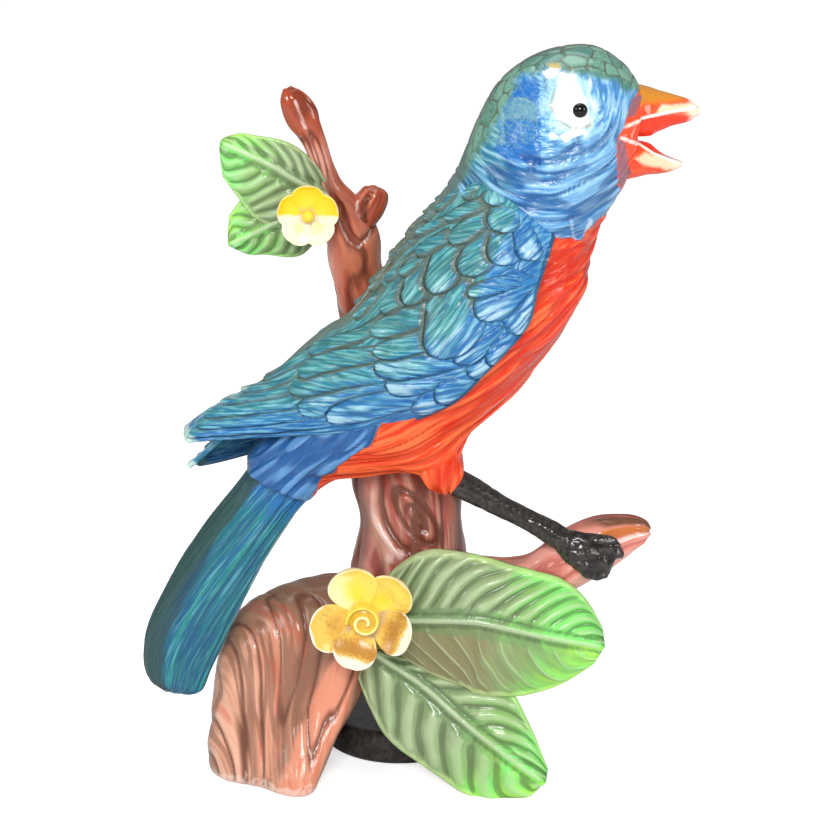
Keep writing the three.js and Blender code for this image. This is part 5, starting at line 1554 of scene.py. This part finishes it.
gold_glaze = glaze("cream_glaze", "#f4e6c8", [
    ("#fdca10", "gold", 2, 2, 0.6, 0.2, 1.0),
    ("#fbdc3c", "heart", 1.4, 1.6, 1.2, 0.3, 0.4),
    ("#fff6dc", "rim", 1, 1, 0.8, 0.3, 0.4),
    ("#c9b48a", "root", 1, 1, 0.6, 0.3, 0.5),
], gloss=0.08, waves=0.12)
rings, masks = petal(
    np.array([0, -middle_plane, 0]), math.pi / 2, upper_bead_radius * 0.7, upper_petal_length,
    upper_petal_width, 0.2, 0.7, petal_thickness, front=60, rows=70, curl=0.6,
)
masks["root"] = clamped((0.3 - masks.pop("reach")) / 0.3)
masks.pop("side")
petals = shell("upper_petals_glazed", rings, masks)
grown(petals, petal_ring, {
    "Count": 5, "Centre": tuple(in_metres(upper_blossom)), "Setback": upper_petal_setback / 1000,
    "Glaze": gold_glaze,
})
heights = in_side_view(vertex_values(petals.data, "co"))[:, 2]
keep_masks(petals.data, {"gold": masked(heights - gold_line, 1.5)})
fixed(petals, gold_glaze, "cream_glaze", *(f"upper_petal_{number}" for number in range(1, 6)))

rings = ball(upper_blossom + [0, -1.2, 0], upper_bead_radius, 24, 48)
bead = shell("upper_bead_glazed", rings, {"heart": np.ones(rings.shape[:2])})
fixed(bead, yellow_glaze, "yellow_glaze", "upper_bead")
upper_calyx = limb([[-19, 14, 149.5, 2.4], [-22.2, 7.6, 147.8, 2.0]], 30, 48)
fixed(shell("upper_calyx_glazed", upper_calyx), leaf_glaze, "leaf_glaze", "upper_calyx")

# Table, lights and camera: the figurine stands on a plain white sheet under soft boxes, seen from
# the bird's side and a little above, from half a metre away.


def shown(tree):
    """1 for what the camera sees itself or through glass, and 0 for light on its way elsewhere."""
    paths = added(tree, "ShaderNodeLightPath").outputs
    return reckoned(tree, "MAXIMUM", paths["Is Camera Ray"], paths["Is Transmission Ray"])


sheet_reach = 9
sheet_corners = [(x * sheet_reach, y * sheet_reach, 0) for x, y in ((-1, -1), (1, -1), (1, 1), (-1, 1))]
sheet_mesh = bpy.data.meshes.new("white_sheet")
sheet_mesh.from_pydata(sheet_corners, [], [(0, 1, 2, 3)])
sheet = in_scene("white_sheet", sheet_mesh)
paper = bpy.data.materials.new("white_paper")
paper.use_nodes = True
paint = paper.node_tree
place = added(paint, "ShaderNodeTexCoord").outputs["Object"]
far = added(paint, "ShaderNodeVectorMath", {0: place}, operation="LENGTH")
lit = added(
    paint, "ShaderNodeMapRange",
    {"Value": far.outputs["Value"], "From Min": 0.25, "From Max": 1.2, "To Min": 0.6, "To Max": 0.8},
)
wired(paint.nodes["Principled BSDF"], {
    "Base Color": (0.8, 0.8, 0.8, 1), "Roughness": 0.9, "Specular IOR Level": 0.0,
    "Emission Color": (1, 1, 1, 1),
    "Emission Strength": reckoned(paint, "MULTIPLY", shown(paint), lit.outputs[0]),
})
sheet_mesh.materials.append(paper)
sheet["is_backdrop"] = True

world = bpy.data.worlds.new("studio")
bpy.context.scene.world = world
world.use_nodes = True
air = world.node_tree
level = added(air, "ShaderNodeMapRange", {"Value": shown(air), "To Min": 0.3, "To Max": 1.0})
wired(air.nodes["Background"], {"Color": (1, 1, 1, 1), "Strength": level.outputs[0]})

lit_point = np.array([0, middle_plane / 1000, 0.1])
for name, place, size, power in (
    ("key_box", (-0.05, -0.85, 0.55), (0.3, 0.24), 6.0),
    ("left_box", (-0.75, -0.5, 0.5), (0.3, 0.3), 2.2),
    ("right_box", (0.75, -0.5, 0.4), (0.3, 0.3), 2.6),
    ("top_box", (-0.1, 0.1, 0.9), (0.5, 0.5), 2.4),
):
    lamp = bpy.data.lights.new(name, "AREA")
    lamp.shape = "RECTANGLE"
    lamp.size, lamp.size_y = size
    lamp.energy = power
    box = in_scene(name, lamp)
    box.location = place
    away = np.array(place) - lit_point
    box.rotation_euler = (math.atan2(math.hypot(away[0], away[1]), away[2]), 0, math.atan2(away[0], -away[1]))

view_target = in_metres([3.9, 0, 99.0])
view_distance = 0.48
view_height = math.radians(15)
camera = in_scene("camera", bpy.data.cameras.new("camera"))
camera.location = view_target + view_distance * np.array([0, -math.cos(view_height), math.sin(view_height)])
camera.rotation_euler = (math.pi / 2 - view_height, 0, 0)
camera.data.sensor_width = 36
camera.data.lens = 83.48
camera.data.clip_start = 0.01
camera.data.clip_end = 40
bpy.context.scene.camera = camera
bpy.context.scene.view_settings.view_transform = "Standard"

visual_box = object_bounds()
sizes = {"cad": cad_box, "visual": visual_box}
